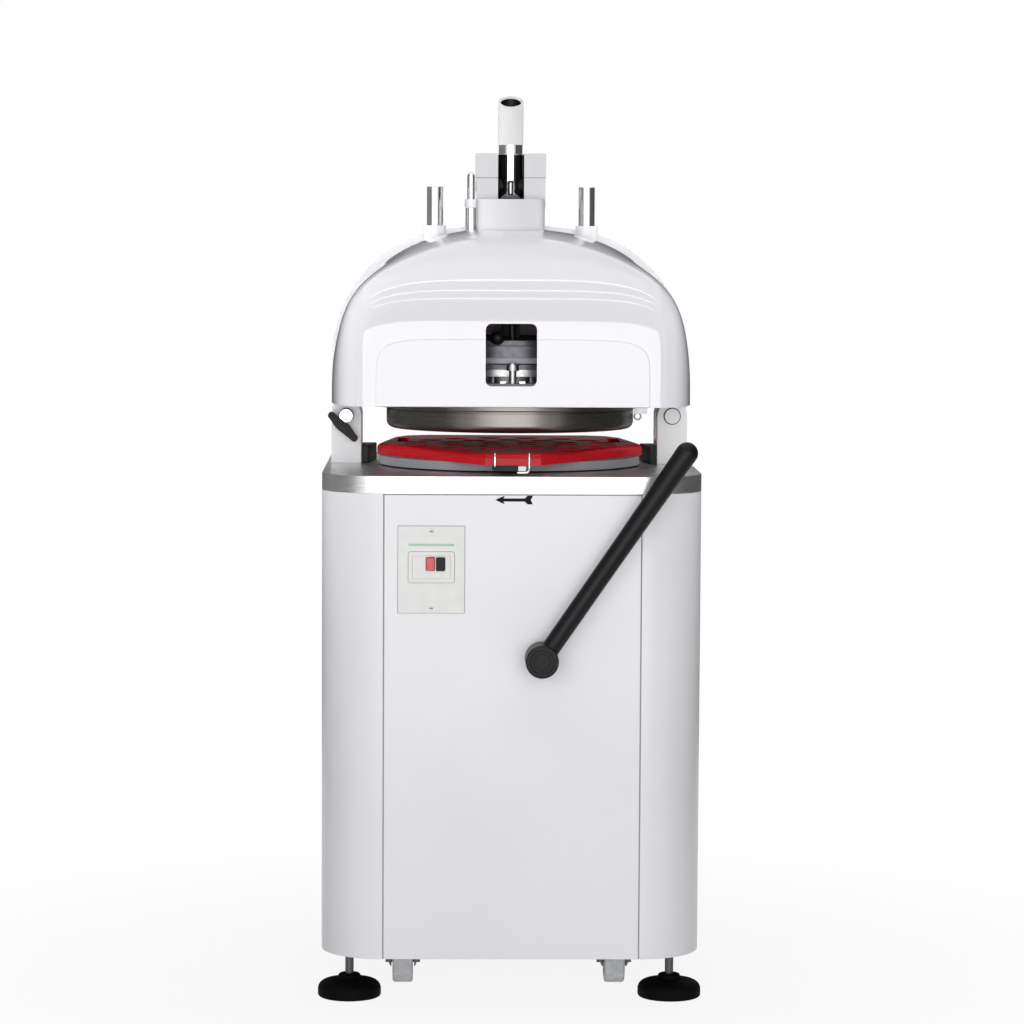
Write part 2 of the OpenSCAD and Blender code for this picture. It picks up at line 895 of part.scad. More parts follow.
module main_pulley() {
  color("darkgray")
    difference() {
      pulley([0, 0], main_pulley_r, pulley_z);
      rod([0, 0], shaft_r, [pulley_z - 1, pulley_z + pulley_w + 1]);
      for (i = [0:5])
        rotate(60 * i)
          rod([main_pulley_r * 0.6, 0], main_pulley_r * 0.2, [pulley_z - 1, pulley_z + pulley_w + 1]);
    }
}

module idler_crank(at) {
  web_r = idler_r + orbit_r + 3;
  color(plain_steel)
    union() {
      rod(at, idler_r, [carriage_z + 2, housing_top - 2]);
      rod(at, web_r, [housing_top - 2, housing_top + 8]);
      rod(at + table_at, idler_r - 2, [housing_top + 8, pin_top]);
    }
}

module idler_crank_left() {
  idler_crank(idler_places[0]);
}

module idler_crank_right() {
  idler_crank(idler_places[1]);
}

module rounding_table() {
  color("darkgray")
    difference() {
      union() {
        rod(table_at, table_r, [table_z, table_top]);
        rod(table_at, table_hub_r, [crank_top + 5, table_z]);
        for (at = idler_places)
          rod(at + table_at, socket_r, [housing_top + 34, table_z]);
      }
      rod(table_at, pin_r + run, [crank_top + 4, pin_top + 2]);
      for (at = idler_places)
        rod(at + table_at, idler_r - 2 + ease, [housing_top + 33, pin_top + 2]);
    }
}

// Plan of the mould plate about the table's middle: drawn to a nose in front, nearly square behind
module mould_plan() {
  right = [[nose_half_w, -nose_reach], [mould_half_w, -4], [mould_half_w, 4], [mould_back_w, back_corner],
           [mould_back_w - 21, back_corner + 50], [mould_back_w - 61, mould_back]];
  polygon(concat(right, [for (i = [len(right) - 1:-1:0]) [-right[i][0], right[i][1]]]));
}

module mould_plate() {
  pocket_r = [18, 21, 21];
  hand_r = 10;
  hand_x = mould_half_w - 53;
  hand_y = [50, 150];
  color("firebrick")
    translate([table_at[0], table_at[1], mould_z])
      difference() {
        linear_extrude(mould_t)
          mould_plan();
        for (ring = [0:2], i = [0:counts[ring] - 1])
          rotate(360 / counts[ring] * (i + 0.5))
            rod([post_radii[ring], 0], pocket_r[ring], [mould_t - pocket_d, mould_t + 1]);
        for (s = sides) {
          block(span(s, hand_x, hand_x + 2 * hand_r), hand_y, [-1, mould_t + 1]);
          for (y = hand_y)
            rod([s * (hand_x + hand_r), y], hand_r, [-1, mould_t + 1]);
        }
      }
}

module plate_latch() {
  front = orbit_r - nose_reach + 6;
  mid = -12;
  pivot_r = 7;
  color(black_plastic)
    union() {
      block([mid - latch_w / 2, mid + latch_w / 2], [front, front + latch_l], [mould_z - latch_t, mould_z]);
      rod([mid, front + latch_l - 12], pivot_r, [mould_z - latch_t - 3, mould_z - latch_t / 2]);
    }
}

// Points of an arc, in steps
function arc(mid, r, from, to, steps) =
  [for (i = [0:steps]) let (a = from + (to - from) * i / steps) mid + r * [cos(a), sin(a)]];

// Front view of the head's arch: straight legs, round shoulders and a flatter crown
function arch_edge(half, shoulder_r, top, foot) =
  let (dx = half - shoulder_r)
  let (drop = top - arch_spring)
  let (crown_r = (dx * dx + drop * drop - shoulder_r * shoulder_r) / (2 * (drop - shoulder_r)))
  let (mid_z = top - crown_r)
  let (turn = atan2(arch_spring - mid_z, dx))
  concat(
    [[half, foot]],
    arc([dx, arch_spring], shoulder_r, 0, turn, 14),
    arc([0, mid_z], crown_r, turn + 2, 178 - turn, 7),
    arc([-dx, arch_spring], shoulder_r, 180 - turn, 180, 14),
    [[-half, foot]]
  );

module head_frame() {
  lug_y = [upright_y + lug_gap, upright_back - lug_gap];
  slot_gap = 0.9;
  collar_z = bridge_z + bridge_t / 2;
  bridge_half = rod_x + rod_r + 10.5;
  color(white_paint)
    difference() {
      union() {
        translate([0, upright_back, 0])
          rotate([90, 0, 0])
            linear_extrude(upright_d)
              difference() {
                polygon(arch_edge(arch_half_w, 219, arch_top, cover_z));
                polygon(arch_edge(leg_in, 154, bridge_top - 6, cover_z - 1));
              }
        block([-bridge_half, bridge_half], [-hub_r - 8, upright_back], [bridge_z, bridge_top]);
        rod([0, 0], hub_r, [cup_z, collar_z]);
        for (at = rod_places)
          rod(at, rod_r + 5, [collar_z, cover_top + 3]);
        rod([knife_rod_x, 0], knife_rod_r + 2, [collar_z, cover_top + 40]);
        rod([knife_rod_x, 0], knife_rod_r + 4, [cover_top + 33, cover_top + 47]);
        for (s = sides) {
          block(span(s, leg_in, arch_half_w), lug_y, [pin_z, cover_z + arch_leg_w / 2]);
          rod_y(s * pin_x, pin_z, arch_leg_w / 2, lug_y);
        }
      }
      rod([0, 0], column_r + run, [cup_z - 1, bridge_z]);
      rod([0, 0], hub_bore, [cup_z + cup_floor, bridge_top + 1]);
      rod([0, 0], hub_r + ease, [bridge_top, arch_top + 1]);
      for (at = rod_places)
        rod(at, rod_r + run, [bridge_z - 1, cover_top + 4]);
      rod([knife_rod_x, 0], knife_rod_r + run, [bridge_z - 1, cover_top + 48]);
      rod_y(pin_x, pin_z, hinge_r + run, [upright_y, upright_back]);
      rod_y(-pin_x, pin_z, clamp_r + slot_gap, [upright_y, upright_back]);
      block([-pin_x - clamp_r - slot_gap, -pin_x + clamp_r + slot_gap], [upright_y, upright_back],
            [pin_z - arch_leg_w, pin_z]);
    }
}

module head_plate() {
  reach = cover_reach - cover_t - 18;
  z = [head_plate_z, head_plate_z + head_plate_t];
  color(plain_steel)
    difference() {
      block([-leg_in, leg_in], [-reach, reach], z);
      rod([0, 0], press_r + 5, [z[0] - 1, z[1] + 1]);
      for (i = [0:3])
        rotate(90 * i)
          rod([hanger_r, 0], 6 + run, [z[0] - 1, z[1] + 1]);
    }
}

// Half width and height of a cover's section, from the arch at 0 to its flat end at 1
function cover_half(u) = facet_half_w + (cover_half_w - facet_half_w) * pow(1 - pow(u, 3), 1 / 3);
function cover_crown(u) = cover_z + facet_h + (cover_h - facet_h) * pow(1 - pow(u, 2.2), 1 / 2.2);

// One section of a cover, from its left foot over the top to its right foot, drawn in by a gap
function cover_section(u, y, inset, steps) =
  let (half = cover_half(u) - inset)
  let (rise = cover_crown(u) - inset - cover_spring)
  let (power = 2 / (2.5 + 2.5 * pow(u, 3)))
  concat(
    [[-half, y, cover_z]],
    [for (i = [0:steps])
      let (a = 180 * (1 - i / steps))
      [half * sign(cos(a)) * pow(abs(cos(a)), power), y, cover_spring + rise * pow(abs(sin(a)), power)]],
    [[half, y, cover_z]]
  );

// A dished shell from an open arch at y0 to a flat end, reaching back or forward by its depth
module cover_shell(y0, straight, depth, dir) {
  steps = 28;
  stations = [for (i = [0:12]) 1 - pow(1 - i / 12, 1.9)];
  width = steps + 3;
  outer_y = concat([y0], [for (u = stations) y0 + dir * (straight + depth * u)]);
  inner_y = concat([y0], [for (u = stations) y0 + dir * (straight + (depth - cover_t) * u)]);
  us = concat([0], stations);
  last = len(us) - 1;
  outer = [for (i = [0:last]) each cover_section(us[i], outer_y[i], 0, steps)];
  inner = [for (i = [0:last]) each cover_section(us[i], inner_y[i], cover_t, steps)];
  half_count = width * (last + 1);
  skin = [for (i = [0:last - 1], j = [0:width - 2], t = [0, 1])
    let (a = i * width + j)
    t == 0 ? [a, a + 1, a + width] : [a + 1, a + width + 1, a + width]];
  end = [for (j = [1:width - 2]) [last * width, last * width + j, last * width + j + 1]];
  sheet = concat(skin, end);
  back_sheet = [for (f = sheet) [f[0] + half_count, f[2] + half_count, f[1] + half_count]];
  arch_rim = [for (j = [0:width - 2], t = [0, 1])
    t == 0 ? [j + 1, j, j + half_count] : [j + 1, j + half_count, j + 1 + half_count]];
  foot = concat([for (i = [0:last]) i * width], [for (i = [last:-1:0]) i * width + width - 1]);
  foot_rim = [for (k = [0:len(foot) - 2], t = [0, 1])
    let (a = foot[k], b = foot[k + 1])
    t == 0 ? [a, b, a + half_count] : [b, b + half_count, a + half_count]];
  faces = concat(sheet, back_sheet, arch_rim, foot_rim);
  flipped = [for (f = faces) [f[0], f[2], f[1]]];
  polyhedron(concat(outer, inner), dir > 0 ? flipped : faces);
}

module front_cover() {
  window_z = cover_z + window_up;
  window_r = 10;
  half = window_w / 2;
  y = [-cover_reach - 1, -cover_reach + 70];
  color(white_paint)
    difference() {
      cover_shell(upright_y, upright_y, cover_reach, -1);
      translate([window_x, 0, window_z]) {
        block([-half, half], y, [window_r, window_h - window_r]);
        block([-half + window_r, half - window_r], y, [0, window_h]);
        for (s = sides, z = [window_r, window_h - window_r])
          rod_y(s * (half - window_r), z, window_r, y);
      }
      rod([0, 0], hub_r + 1.5, [arch_spring, cover_top + 1]);
      for (at = rod_places)
        rod(at, rod_r + 6, [arch_spring, cover_top + 1]);
      rod([knife_rod_x, 0], knife_rod_r + 3, [arch_spring, cover_top + 1]);
    }
}

module rear_cover() {
  color(white_paint)
    cover_shell(upright_back, 0, rear_reach, 1);
}

module hinge_pin() {
  color(plain_steel)
    union() {
      rod_y(pin_x, pin_z, hinge_r, [upright_y, upright_back + 12]);
      rod_y(pin_x, pin_z, hinge_r + 4, [upright_y - 7, upright_y]);
      rod_y(pin_x, pin_z, hinge_r + 5, [upright_back, upright_back + 10]);
    }
}

module clamp_knob() {
  knob_y = upright_y - 4;
  wing_y = [knob_y - 30, knob_y - 13];
  waist = 9.5;
  end_r = 6;
  end_x = wing_l / 2 - end_r;
  half_plan = [[end_x, -end_r + 0.4], [end_x, end_r - 0.4], [end_r, waist]];
  color(black_plastic)
    union() {
      rod_y(-pin_x, pin_z, clamp_r, [knob_y - 10, upright_back + 10]);
      rod_y(-pin_x, pin_z, clamp_r + 4, [knob_y - 1, upright_y - ease]);
      rod_y(-pin_x, pin_z, clamp_r + 2, [wing_y[0] + 2, knob_y]);
      translate([-pin_x, 0, pin_z])
        rotate([0, 45, 0])
          translate([wing_shift, 0, -wing_drop]) {
            translate([0, wing_y[1], 0])
              rotate([90, 0, 0])
                linear_extrude(wing_y[1] - wing_y[0])
                  polygon(concat(half_plan, -half_plan));
            for (s = sides)
              rod_y(s * end_x, 0, end_r, wing_y);
          }
      rod_y(-pin_x, pin_z, clamp_r + 5, [upright_back + ease, upright_back + 9]);
    }
}

module retaining_ring() {
  lip = 12;
  flange_t = 10;
  groove = 2;
  groove_z = ring_h - flange_t - 4;
  color("rosybrown")
    translate([0, 0, ring_z])
      rotate_extrude()
        difference() {
          union() {
            translate([ring_in, 0])
              square([ring_wall - lip, ring_h]);
            translate([ring_in, lip])
              square([ring_wall, ring_h - lip]);
            intersection() {
              translate([ring_r - lip, lip])
                circle(lip);
              translate([ring_in, 0])
                square([ring_wall, lip]);
            }
            translate([ring_in, ring_h - flange_t])
              square([flange_r - ring_in, flange_t]);
          }
          translate([ring_r - groove, groove_z])
            square([groove + 1, groove]);
        }
}

module ring_hangers() {
  stud_top = head_plate_z + head_plate_t + ring_travel + 14;
  catch_x = ring_r - 2;
  color(plain_steel)
    union() {
      for (i = [0:3])
        rotate(90 * i) {
          rod([hanger_r, 0], 6, [ring_top, stud_top]);
          rod([hanger_r, 0], 10, [stud_top - 12, stud_top - 2]);
        }
      difference() {
        block([catch_x, catch_x + 26], [-12, 12], [ring_z + 24, ring_top - 10]);
        rod([0, 0], ring_r, [ring_z, ring_top]);
      }
      translate([ring_r + 8, 0, ring_z + 19])
        rotate([90, 0, 0])
          rotate_extrude()
            translate([5.5, 0])
              circle(1.4);
    }
}

// Radial and round cuts between the thirty pieces, of a given width
module cuts(w, z, out) {
  for (r = [inner_cut_r, outer_cut_r])
    pipe([0, 0], r + w / 2, r - w / 2, z);
  for (ring = [0:2], i = [0:counts[ring] - 1])
    rotate(360 / counts[ring] * i)
      block([cut_radii[ring], ring == 2 ? out : cut_radii[ring + 1]], [-w / 2, w / 2], z);
}

// One post over each of the thirty pieces
module piece_posts(r, z) {
  for (ring = [0:2], i = [0:counts[ring] - 1])
    rotate(360 / counts[ring] * (i + 0.5))
      rod([post_radii[ring], 0], r, z);
}

module press_head() {
  color("lightslategray")
    difference() {
      union() {
        difference() {
          rod([0, 0], press_r, [segment_z, segment_z + segment_t]);
          cuts(slot_w, [segment_z - 1, segment_z + segment_t + 1], press_r + 1);
        }
        piece_posts(segment_post_r, [segment_z + segment_t / 2, carrier_z + carrier_t / 2]);
        rod([0, 0], press_r - 2, [carrier_z, carrier_top]);
      }
      rod([knife_rod_x, 0], knife_rod_r + run, [carrier_z - 1, carrier_top + 1]);
    }
}

module knife_set() {
  color(plain_steel)
    difference() {
      union() {
        cuts(blade_t, [segment_z + 3, knife_plate_z], press_r - 1);
        rod([0, 0], press_r - 1, [knife_plate_z, knife_plate_z + knife_plate_t]);
      }
      piece_posts(segment_post_r + 1, [knife_plate_z - 1, knife_plate_z + knife_plate_t + 1]);
    }
}

module guide_rods() {
  color(plain_steel)
    for (at = rod_places)
      rod(at, rod_r, [carrier_top, cover_top + rod_up]);
}

module knife_rod() {
  tip = cover_top + knife_rod_up - knife_rod_r;
  color(plain_steel)
    union() {
      rod([knife_rod_x, 0], knife_rod_r, [knife_plate_z + knife_plate_t, tip]);
      translate([knife_rod_x, 0, tip])
        sphere(knife_rod_r);
    }
}

// Half of a rack tooth's width at a height over its pitch line
function rack_half(h) = PI * gear_module / 4 - 0.15 - h * tan(20);

// Front face of a rack, tooth by tooth, with its pitch line at 0
function rack_edge(teeth) =
  let (root = -1.08 * gear_module)
  let (tip = 0.9 * gear_module)
  [for (i = [0:teeth - 1], c = [[-1, root], [-1, tip], [1, tip], [1, root]])
    [c[1], (i + 0.5) * PI * gear_module + c[0] * rack_half(c[1])]];

module press_column() {
  teeth = 9;
  rack_l = teeth * PI * gear_module;
  back = -2.2 * gear_module - 4;
  rack_z = pivot_z - rack_l / 2;
  color(plain_steel)
    union() {
      rod([0, 0], column_r, [carrier_top, crosshead_z]);
      rod([0, 0], hub_bore - 2, [crosshead_z, crosshead_z + crosshead_t]);
      for (s = sides)
        translate([0, pivot_y - pitch_r, 0]) {
          block(span(s, gear_in, gear_in + gear_w), [back, -1.3 * gear_module], [crosshead_z, rack_z + rack_l]);
          translate([s > 0 ? gear_in : -gear_in - gear_w, 0, rack_z])
            rotate([90, 0, 90])
              linear_extrude(gear_w)
                polygon(concat([[-1.4 * gear_module, 0]], rack_edge(teeth), [[-1.4 * gear_module, rack_l]]));
        }
    }
}

// A point on a coil that rises steadily between its ends
function coil_mid(t, z0, z1) = [spring_r * cos(360 * spring_turns * t), spring_r * sin(360 * spring_turns * t),
                                z0 + wire_r + ease + (z1 - z0 - 2 * wire_r - 2 * ease) * t];

module return_spring() {
  z0 = cup_z + cup_floor;
  z1 = crosshead_z;
  rings = spring_turns * 8;
  sides6 = 6;
  points = [for (i = [0:rings], k = [0:sides6 - 1])
    let (t = i / rings)
    let (a = 360 * spring_turns * t)
    let (out = [cos(a), sin(a), 0])
    coil_mid(t, z0, z1) + wire_r * (cos(60 * k) * out + sin(60 * k) * [0, 0, 1])];
  walls = [for (i = [0:rings - 1], k = [0:sides6 - 1], t = [0, 1])
    let (a = i * sides6 + k)
    let (b = i * sides6 + (k + 1) % sides6)
    t == 0 ? [a, b, a + sides6] : [b, b + sides6, a + sides6]];
  first = [for (k = [1:sides6 - 2]) [0, k + 1, k]];
  end = rings * sides6;
  final = [for (k = [1:sides6 - 2]) [end, end + k, end + k + 1]];
  pitch = (z1 - z0 - 2 * wire_r - 2 * ease) / spring_turns;
  echo("least gap between the spring's turns", pitch - 2 * wire_r);
  color(plain_steel)
    polyhedron(points, concat(walls, first, final));
}

module lever_housing() {
  wall = 4;
  front = -4;
  back = pivot_y + 47;
  low_top = hub_top + 37;
  rack_y = pivot_y - pitch_r;
  color(white_paint)
    difference() {
      union() {
        rod([0, 0], hub_r, [bridge_top, hub_top]);
        block([-housing_half_w, housing_half_w], [front, back], [housing_floor, hub_top]);
        for (s = sides) {
          block(span(s, cheek_in, housing_half_w), [front, back], [hub_top, low_top]);
          block(span(s, cheek_in, housing_half_w + 1), [front - 1, back], [low_top, housing_top_z]);
        }
        block([-cheek_in, cheek_in], [back - 20, back], [hub_top, housing_top_z]);
      }
      rod([0, 0], hub_bore, [bridge_top - 1, housing_floor]);
      for (s = sides) {
        block(span(s, cheek_in + wall, housing_half_w - wall), [front + wall, back - wall],
              [housing_floor + wall, housing_top_z - wall]);
        block(span(s, gear_in - 1, gear_in + gear_w + 1), [rack_y - 14, rack_y + 5],
              [housing_floor - 1, housing_floor + wall + 1]);
      }
      rod_x(pivot_y, pivot_z, pinion_shaft_r + run, [-housing_half_w - 3, housing_half_w + 3]);
      rod([knife_rod_x, 0], knife_rod_r + 4 + ease, [housing_floor - 1, hub_top + ease]);
    }
}

// Half of a tooth's angle at a distance from the pinion's middle, with an involute flank
function tooth_half(r, base_r) =
  let (a = acos(min(1, base_r / r)))
  let (a0 = acos(base_r / pitch_r))
  82 / pinion_teeth + (tan(a0) * 180 / PI - a0) - (tan(a) * 180 / PI - a);

module pinion_plan() {
  base_r = pitch_r * cos(20);
  root_r = pitch_r - 1.25 * gear_module;
  radii = [for (i = [0:4]) base_r + (pitch_r + 0.9 * gear_module - base_r) * i / 4];
  points = [for (n = [0:pinion_teeth - 1])
    let (mid = 360 / pinion_teeth * n)
    each concat(
      [root_r * [cos(mid - tooth_half(base_r, base_r)), sin(mid - tooth_half(base_r, base_r))]],
      [for (r = radii) r * [cos(mid - tooth_half(r, base_r)), sin(mid - tooth_half(r, base_r))]],
      [for (i = [4:-1:0]) radii[i] * [cos(mid + tooth_half(radii[i], base_r)), sin(mid + tooth_half(radii[i], base_r))]],
      [root_r * [cos(mid + tooth_half(base_r, base_r)), sin(mid + tooth_half(base_r, base_r))]]
    )];
  polygon(points);
}

module pinion_shaft() {
  color(plain_steel)
    union() {
      rod_x(pivot_y, pivot_z, pinion_shaft_r, [-housing_half_w - 1, housing_half_w + 1]);
      for (s = sides)
        translate([s > 0 ? gear_in : -gear_in - gear_w, pivot_y, pivot_z])
          rotate([90, 0, 90])
            linear_extrude(gear_w)
              rotate(180 + 180 / pinion_teeth)
                pinion_plan();
    }
}

module press_lever() {
  end_r = pivot_up - 0.6;
  top = pivot_z + grip_from;
  boss_r = pinion_shaft_r + 6;
  boss_half_w = tube_r + 1;
  beside = [-tube_r - 1, tube_r + 1];
  color(plain_steel)
    difference() {
      union() {
        rod_x(pivot_y, pivot_z, boss_r, [-boss_half_w, boss_half_w]);
        intersection() {
          rod([0, pivot_y], tube_r, [pivot_z - pivot_up, top]);
          union() {
            rod_x(pivot_y, pivot_z, end_r, beside);
            block(beside, [pivot_y, pivot_y] + beside, [pivot_z, top + 1]);
          }
        }
      }
      rod_x(pivot_y, pivot_z, pinion_shaft_r, [-boss_half_w - 1, boss_half_w + 1]);
    }
}

module lever_grip() {
  low = pivot_z + grip_from;
  mid = low + grip_l;
  color("lightgray")
    difference() {
      rod([0, pivot_y], grip_r, [low, mid + grip_r]);
      translate([0, pivot_y, mid])
        rotate([grip_slant, 0, 0])
          block([-2 * grip_r, 2 * grip_r], [-2 * grip_r, 2 * grip_r], [0, 2 * grip_r]);
      rod([0, pivot_y], grip_r - 4, [mid - 14, mid + 2 * grip_r]);
    }
}

module catch_lever() {
  at = [0, -press_r + 26];
  arm = 25;
  z = carrier_top + ball_r + 2;
  color(black_plastic)
    union() {
      rod(at, 6, [carrier_top, z + 24]);
      translate([at[0], at[1], z])
        rotate([0, 0, 225])
          rod_x(0, 0, 4, [0, arm * sqrt(2)]);
      translate([at[0] - arm, at[1] - arm, z])
        sphere(ball_r);
    }
}

module levelling_foot(s) {
  rim_h = 14;
  shoulder = pad_h - 12;
  cup_z = pad_h - 8;
  color(black_plastic)
    translate([s * foot_x, -foot_y, 0])
      union() {
        rotate_extrude()
          polygon([[0, 0], [pad_r - 4, 0], [pad_r, 4], [pad_r, rim_h], [pad_r - 3, rim_h + 6],
                   [pad_r - 10, shoulder], [pad_r - 25, shoulder + 3], [stud_r + 12, cup_z],
                   [stud_r + 11, pad_h - 2], [stud_r + 8, pad_h], [0, pad_h]]);
        cylinder(r = stud_r, h = base_top + 22);
        translate([0, 0, base_z - 16])
          cylinder(r = stud_r + 5, h = 15.5, $fn = 6);
      }
}

module levelling_foot_left() {
  levelling_foot(-1);
}

module levelling_foot_right() {
  levelling_foot(1);
}

// Two fork legs with the axle between them
module fork_legs(at, axle_z, top) {
  depth = 28;
  below = 9;
  foot = axle_z - below;
  thick = fork_t + 5;
  slant = below + axle_r + 3;
  plan = [[0, foot], [1.5, foot], [thick, foot + slant], [thick, top], [0, top]];
  for (s = sides)
    translate([at[0], at[1] + depth / 2, 0])
      rotate([90, 0, 0])
        linear_extrude(depth)
          polygon([for (p = plan) [s * (fork_gap + p[0]), p[1]]]);
  rod_x(at[1], axle_z, axle_r, [at[0] - fork_gap - thick - 1, at[0] + fork_gap + thick + 1]);
}

module swivel_fork(s) {
  x = s * caster_x;
  axle_z = wheel_r + wheel_lift;
  crown_z = axle_z + wheel_r + 5;
  color(dark_steel)
    union() {
      fork_legs([x, trail - caster_y], axle_z, crown_z);
      block([x - fork_gap - fork_t, x + fork_gap + fork_t], [-caster_y - 14, trail - caster_y + 14],
            [crown_z, crown_z + 5]);
      rod([x, -caster_y], fork_gap + fork_t, [crown_z, base_z - ease]);
      rod([x, -caster_y], 6, [base_z - ease, base_top]);
      rod([x, -caster_y], 10, [base_top + ease, base_top + 8]);
      rod([x, -caster_y], 6, [base_top, base_top + 8]);
    }
}

module swivel_fork_left() {
  swivel_fork(-1);
}

module swivel_fork_right() {
  swivel_fork(1);
}

// A wheel with a bore for its axle, slightly rounded at the rims
module wheel(at, axle_z) {
  rim = 3;
  half = wheel_w / 2;
  color("lightgray")
    translate([at[0], at[1], axle_z])
      rotate([0, 90, 0])
        rotate_extrude()
          polygon([[axle_r + run, -half], [wheel_r - rim, -half], [wheel_r, -half + rim],
                   [wheel_r, half - rim], [wheel_r - rim, half], [axle_r + run, half]]);
}

module front_wheel_left() {
  wheel([-caster_x, trail - caster_y], wheel_r + wheel_lift);
}

module front_wheel_right() {
  wheel([caster_x, trail - caster_y], wheel_r + wheel_lift);
}

module rear_forks() {
  color(dark_steel)
    for (s = sides) {
      fork_legs([s * rear_caster_x, rear_caster_y], wheel_r, base_z);
      block([s * rear_caster_x - fork_gap - fork_t, s * rear_caster_x + fork_gap + fork_t],
            [rear_caster_y - 30, rear_caster_y + 30], [base_z - 10, base_z]);
    }
}

module rear_wheel_left() {
  wheel([-rear_caster_x, rear_caster_y], wheel_r);
}

module rear_wheel_right() {
  wheel([rear_caster_x, rear_caster_y], wheel_r);
}

base_plate();
side_plates();
bed_plate();
left_side_panel();
right_side_panel();
front_panel();
rear_panel();
worktop();
cable_gland();
left_upright();
right_upright();
plate_guides();
control_plate();
switch_housing();
start_button();
stop_button();
lever_bearings();
cam_shaft();
rounding_lever();
guide_posts();
carriage();
motor();
motor_rotor();
drive_belt();
main_bearings();
eccentric_shaft();
main_pulley();
idler_crank_left();
idler_crank_right();
rounding_table();
mould_plate();
plate_latch();
head_frame();
head_plate();
front_cover();
rear_cover();
hinge_pin();
clamp_knob();
retaining_ring();
ring_hangers();
press_head();
knife_set();
guide_rods();
knife_rod();
press_column();
return_spring();
lever_housing();
pinion_shaft();
press_lever();
lever_grip();
catch_lever();
levelling_foot_left();
levelling_foot_right();
swivel_fork_left();
swivel_fork_right();
front_wheel_left();
front_wheel_right();
rear_forks();
rear_wheel_left();
rear_wheel_right();
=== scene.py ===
import math
from contextlib import contextmanager

import bmesh
import bpy
from mathutils import Matrix, Vector


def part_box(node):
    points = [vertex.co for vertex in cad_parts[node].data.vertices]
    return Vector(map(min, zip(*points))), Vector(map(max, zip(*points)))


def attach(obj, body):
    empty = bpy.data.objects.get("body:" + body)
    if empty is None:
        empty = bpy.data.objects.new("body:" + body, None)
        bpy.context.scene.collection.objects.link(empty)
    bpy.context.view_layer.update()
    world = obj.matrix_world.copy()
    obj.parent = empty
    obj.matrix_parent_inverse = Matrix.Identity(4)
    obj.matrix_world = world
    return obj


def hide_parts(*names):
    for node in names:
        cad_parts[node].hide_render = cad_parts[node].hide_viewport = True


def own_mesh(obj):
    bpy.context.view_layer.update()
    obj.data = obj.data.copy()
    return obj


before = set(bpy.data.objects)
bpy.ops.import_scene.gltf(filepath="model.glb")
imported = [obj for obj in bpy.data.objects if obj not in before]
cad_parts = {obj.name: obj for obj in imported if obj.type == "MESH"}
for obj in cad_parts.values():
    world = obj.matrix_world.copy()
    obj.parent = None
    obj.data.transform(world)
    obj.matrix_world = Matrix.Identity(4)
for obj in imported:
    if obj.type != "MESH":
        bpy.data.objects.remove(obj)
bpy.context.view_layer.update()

bl_info = {
    "name": "Divider rounder",
    "version": (1, 0, 0),
    "blender": (4, 5, 0),
    "location": "View3D > Sidebar > Divider rounder",
    "description": "Dresses the solids of a bakery divider rounder with finished pieces and materials",
    "category": "Object",
}

MM = 0.001
NEAR = 1e-6  # metres within which two points are one
LATHE_ANGLE = 25  # degrees past which an edge of a turned piece stays sharp
FORWARD = (0, -1, 0)
SIDES = (("left", -1), ("right", 1))
PIVOT_Y, PIVOT_Z = 45, 1336  # the press lever's shaft, in mm
KNIFE_ROD_X = -67  # in mm


def linear(code):
    """An sRGB hex colour as linear red, green and blue."""
    parts = [int(code[i:i + 2], 16) / 255 for i in (0, 2, 4)]
    return tuple(c / 12.92 if c <= 0.04045 else ((c + 0.055) / 1.055) ** 2.4 for c in parts)


def length(name, description, default):
    """A length in metres that a user may change."""
    return bpy.props.FloatProperty(name=name, description=description, default=default, min=0, precision=4,
                                   subtype="DISTANCE", unit="LENGTH")


def colour(name, description, code):
    """A colour that a user may change, given as sRGB hex."""
    return bpy.props.FloatVectorProperty(name=name, description=description, default=linear(code),
                                         min=0, max=1, subtype="COLOR", size=3)


class RounderSizes(bpy.types.PropertyGroup):
    """Sizes of the finished pieces that the solids leave plain."""

    panel_edge: length("Panel edge", "Rounding of the folded sheet's edges", 1.0 * MM)
    casting_edge: length("Casting edge", "Rounding of the painted castings", 2.0 * MM)
    machined_edge: length("Machined edge", "Rounding of turned and milled edges", 0.8 * MM)
    moulded_edge: length("Moulded edge", "Rounding of moulded plastic", 1.6 * MM)
    cover_wall: length("Cover wall", "Thickness of the covers' sheet", 4.0 * MM)
    facet_half: length("Flat end half width", "Half the width of a cover's flat end", 222 * MM)
    facet_height: length("Flat end height", "Height of a cover's flat end over its foot", 110 * MM)
    spring_height: length("Cover spring height", "Height of a cover's upright foot", 8 * MM)
    window_width: length("Window width", "Width of the window in the front cover", 83 * MM)
    window_height: length("Window height", "Height of the window in the front cover", 101 * MM)
    window_corner: length("Window corner", "Radius of the window's corners", 10 * MM)
    mark_length: length("Arrow length", "Length of the arrow over the rounding lever", 61 * MM)
    mark_height: length("Arrow height", "Height of the arrow over the rounding lever", 14 * MM)
    facet_lip: length("Flat end lip", "How far a cover's flat end stands proud", 3.2 * MM)
    plate_round: length("Plate rounding", "Rounding of the mould plate's upper edge", 9 * MM)
    wire_radius: length("Wire radius", "Radius of the bent wires on the mould plate's nose", 1.7 * MM)


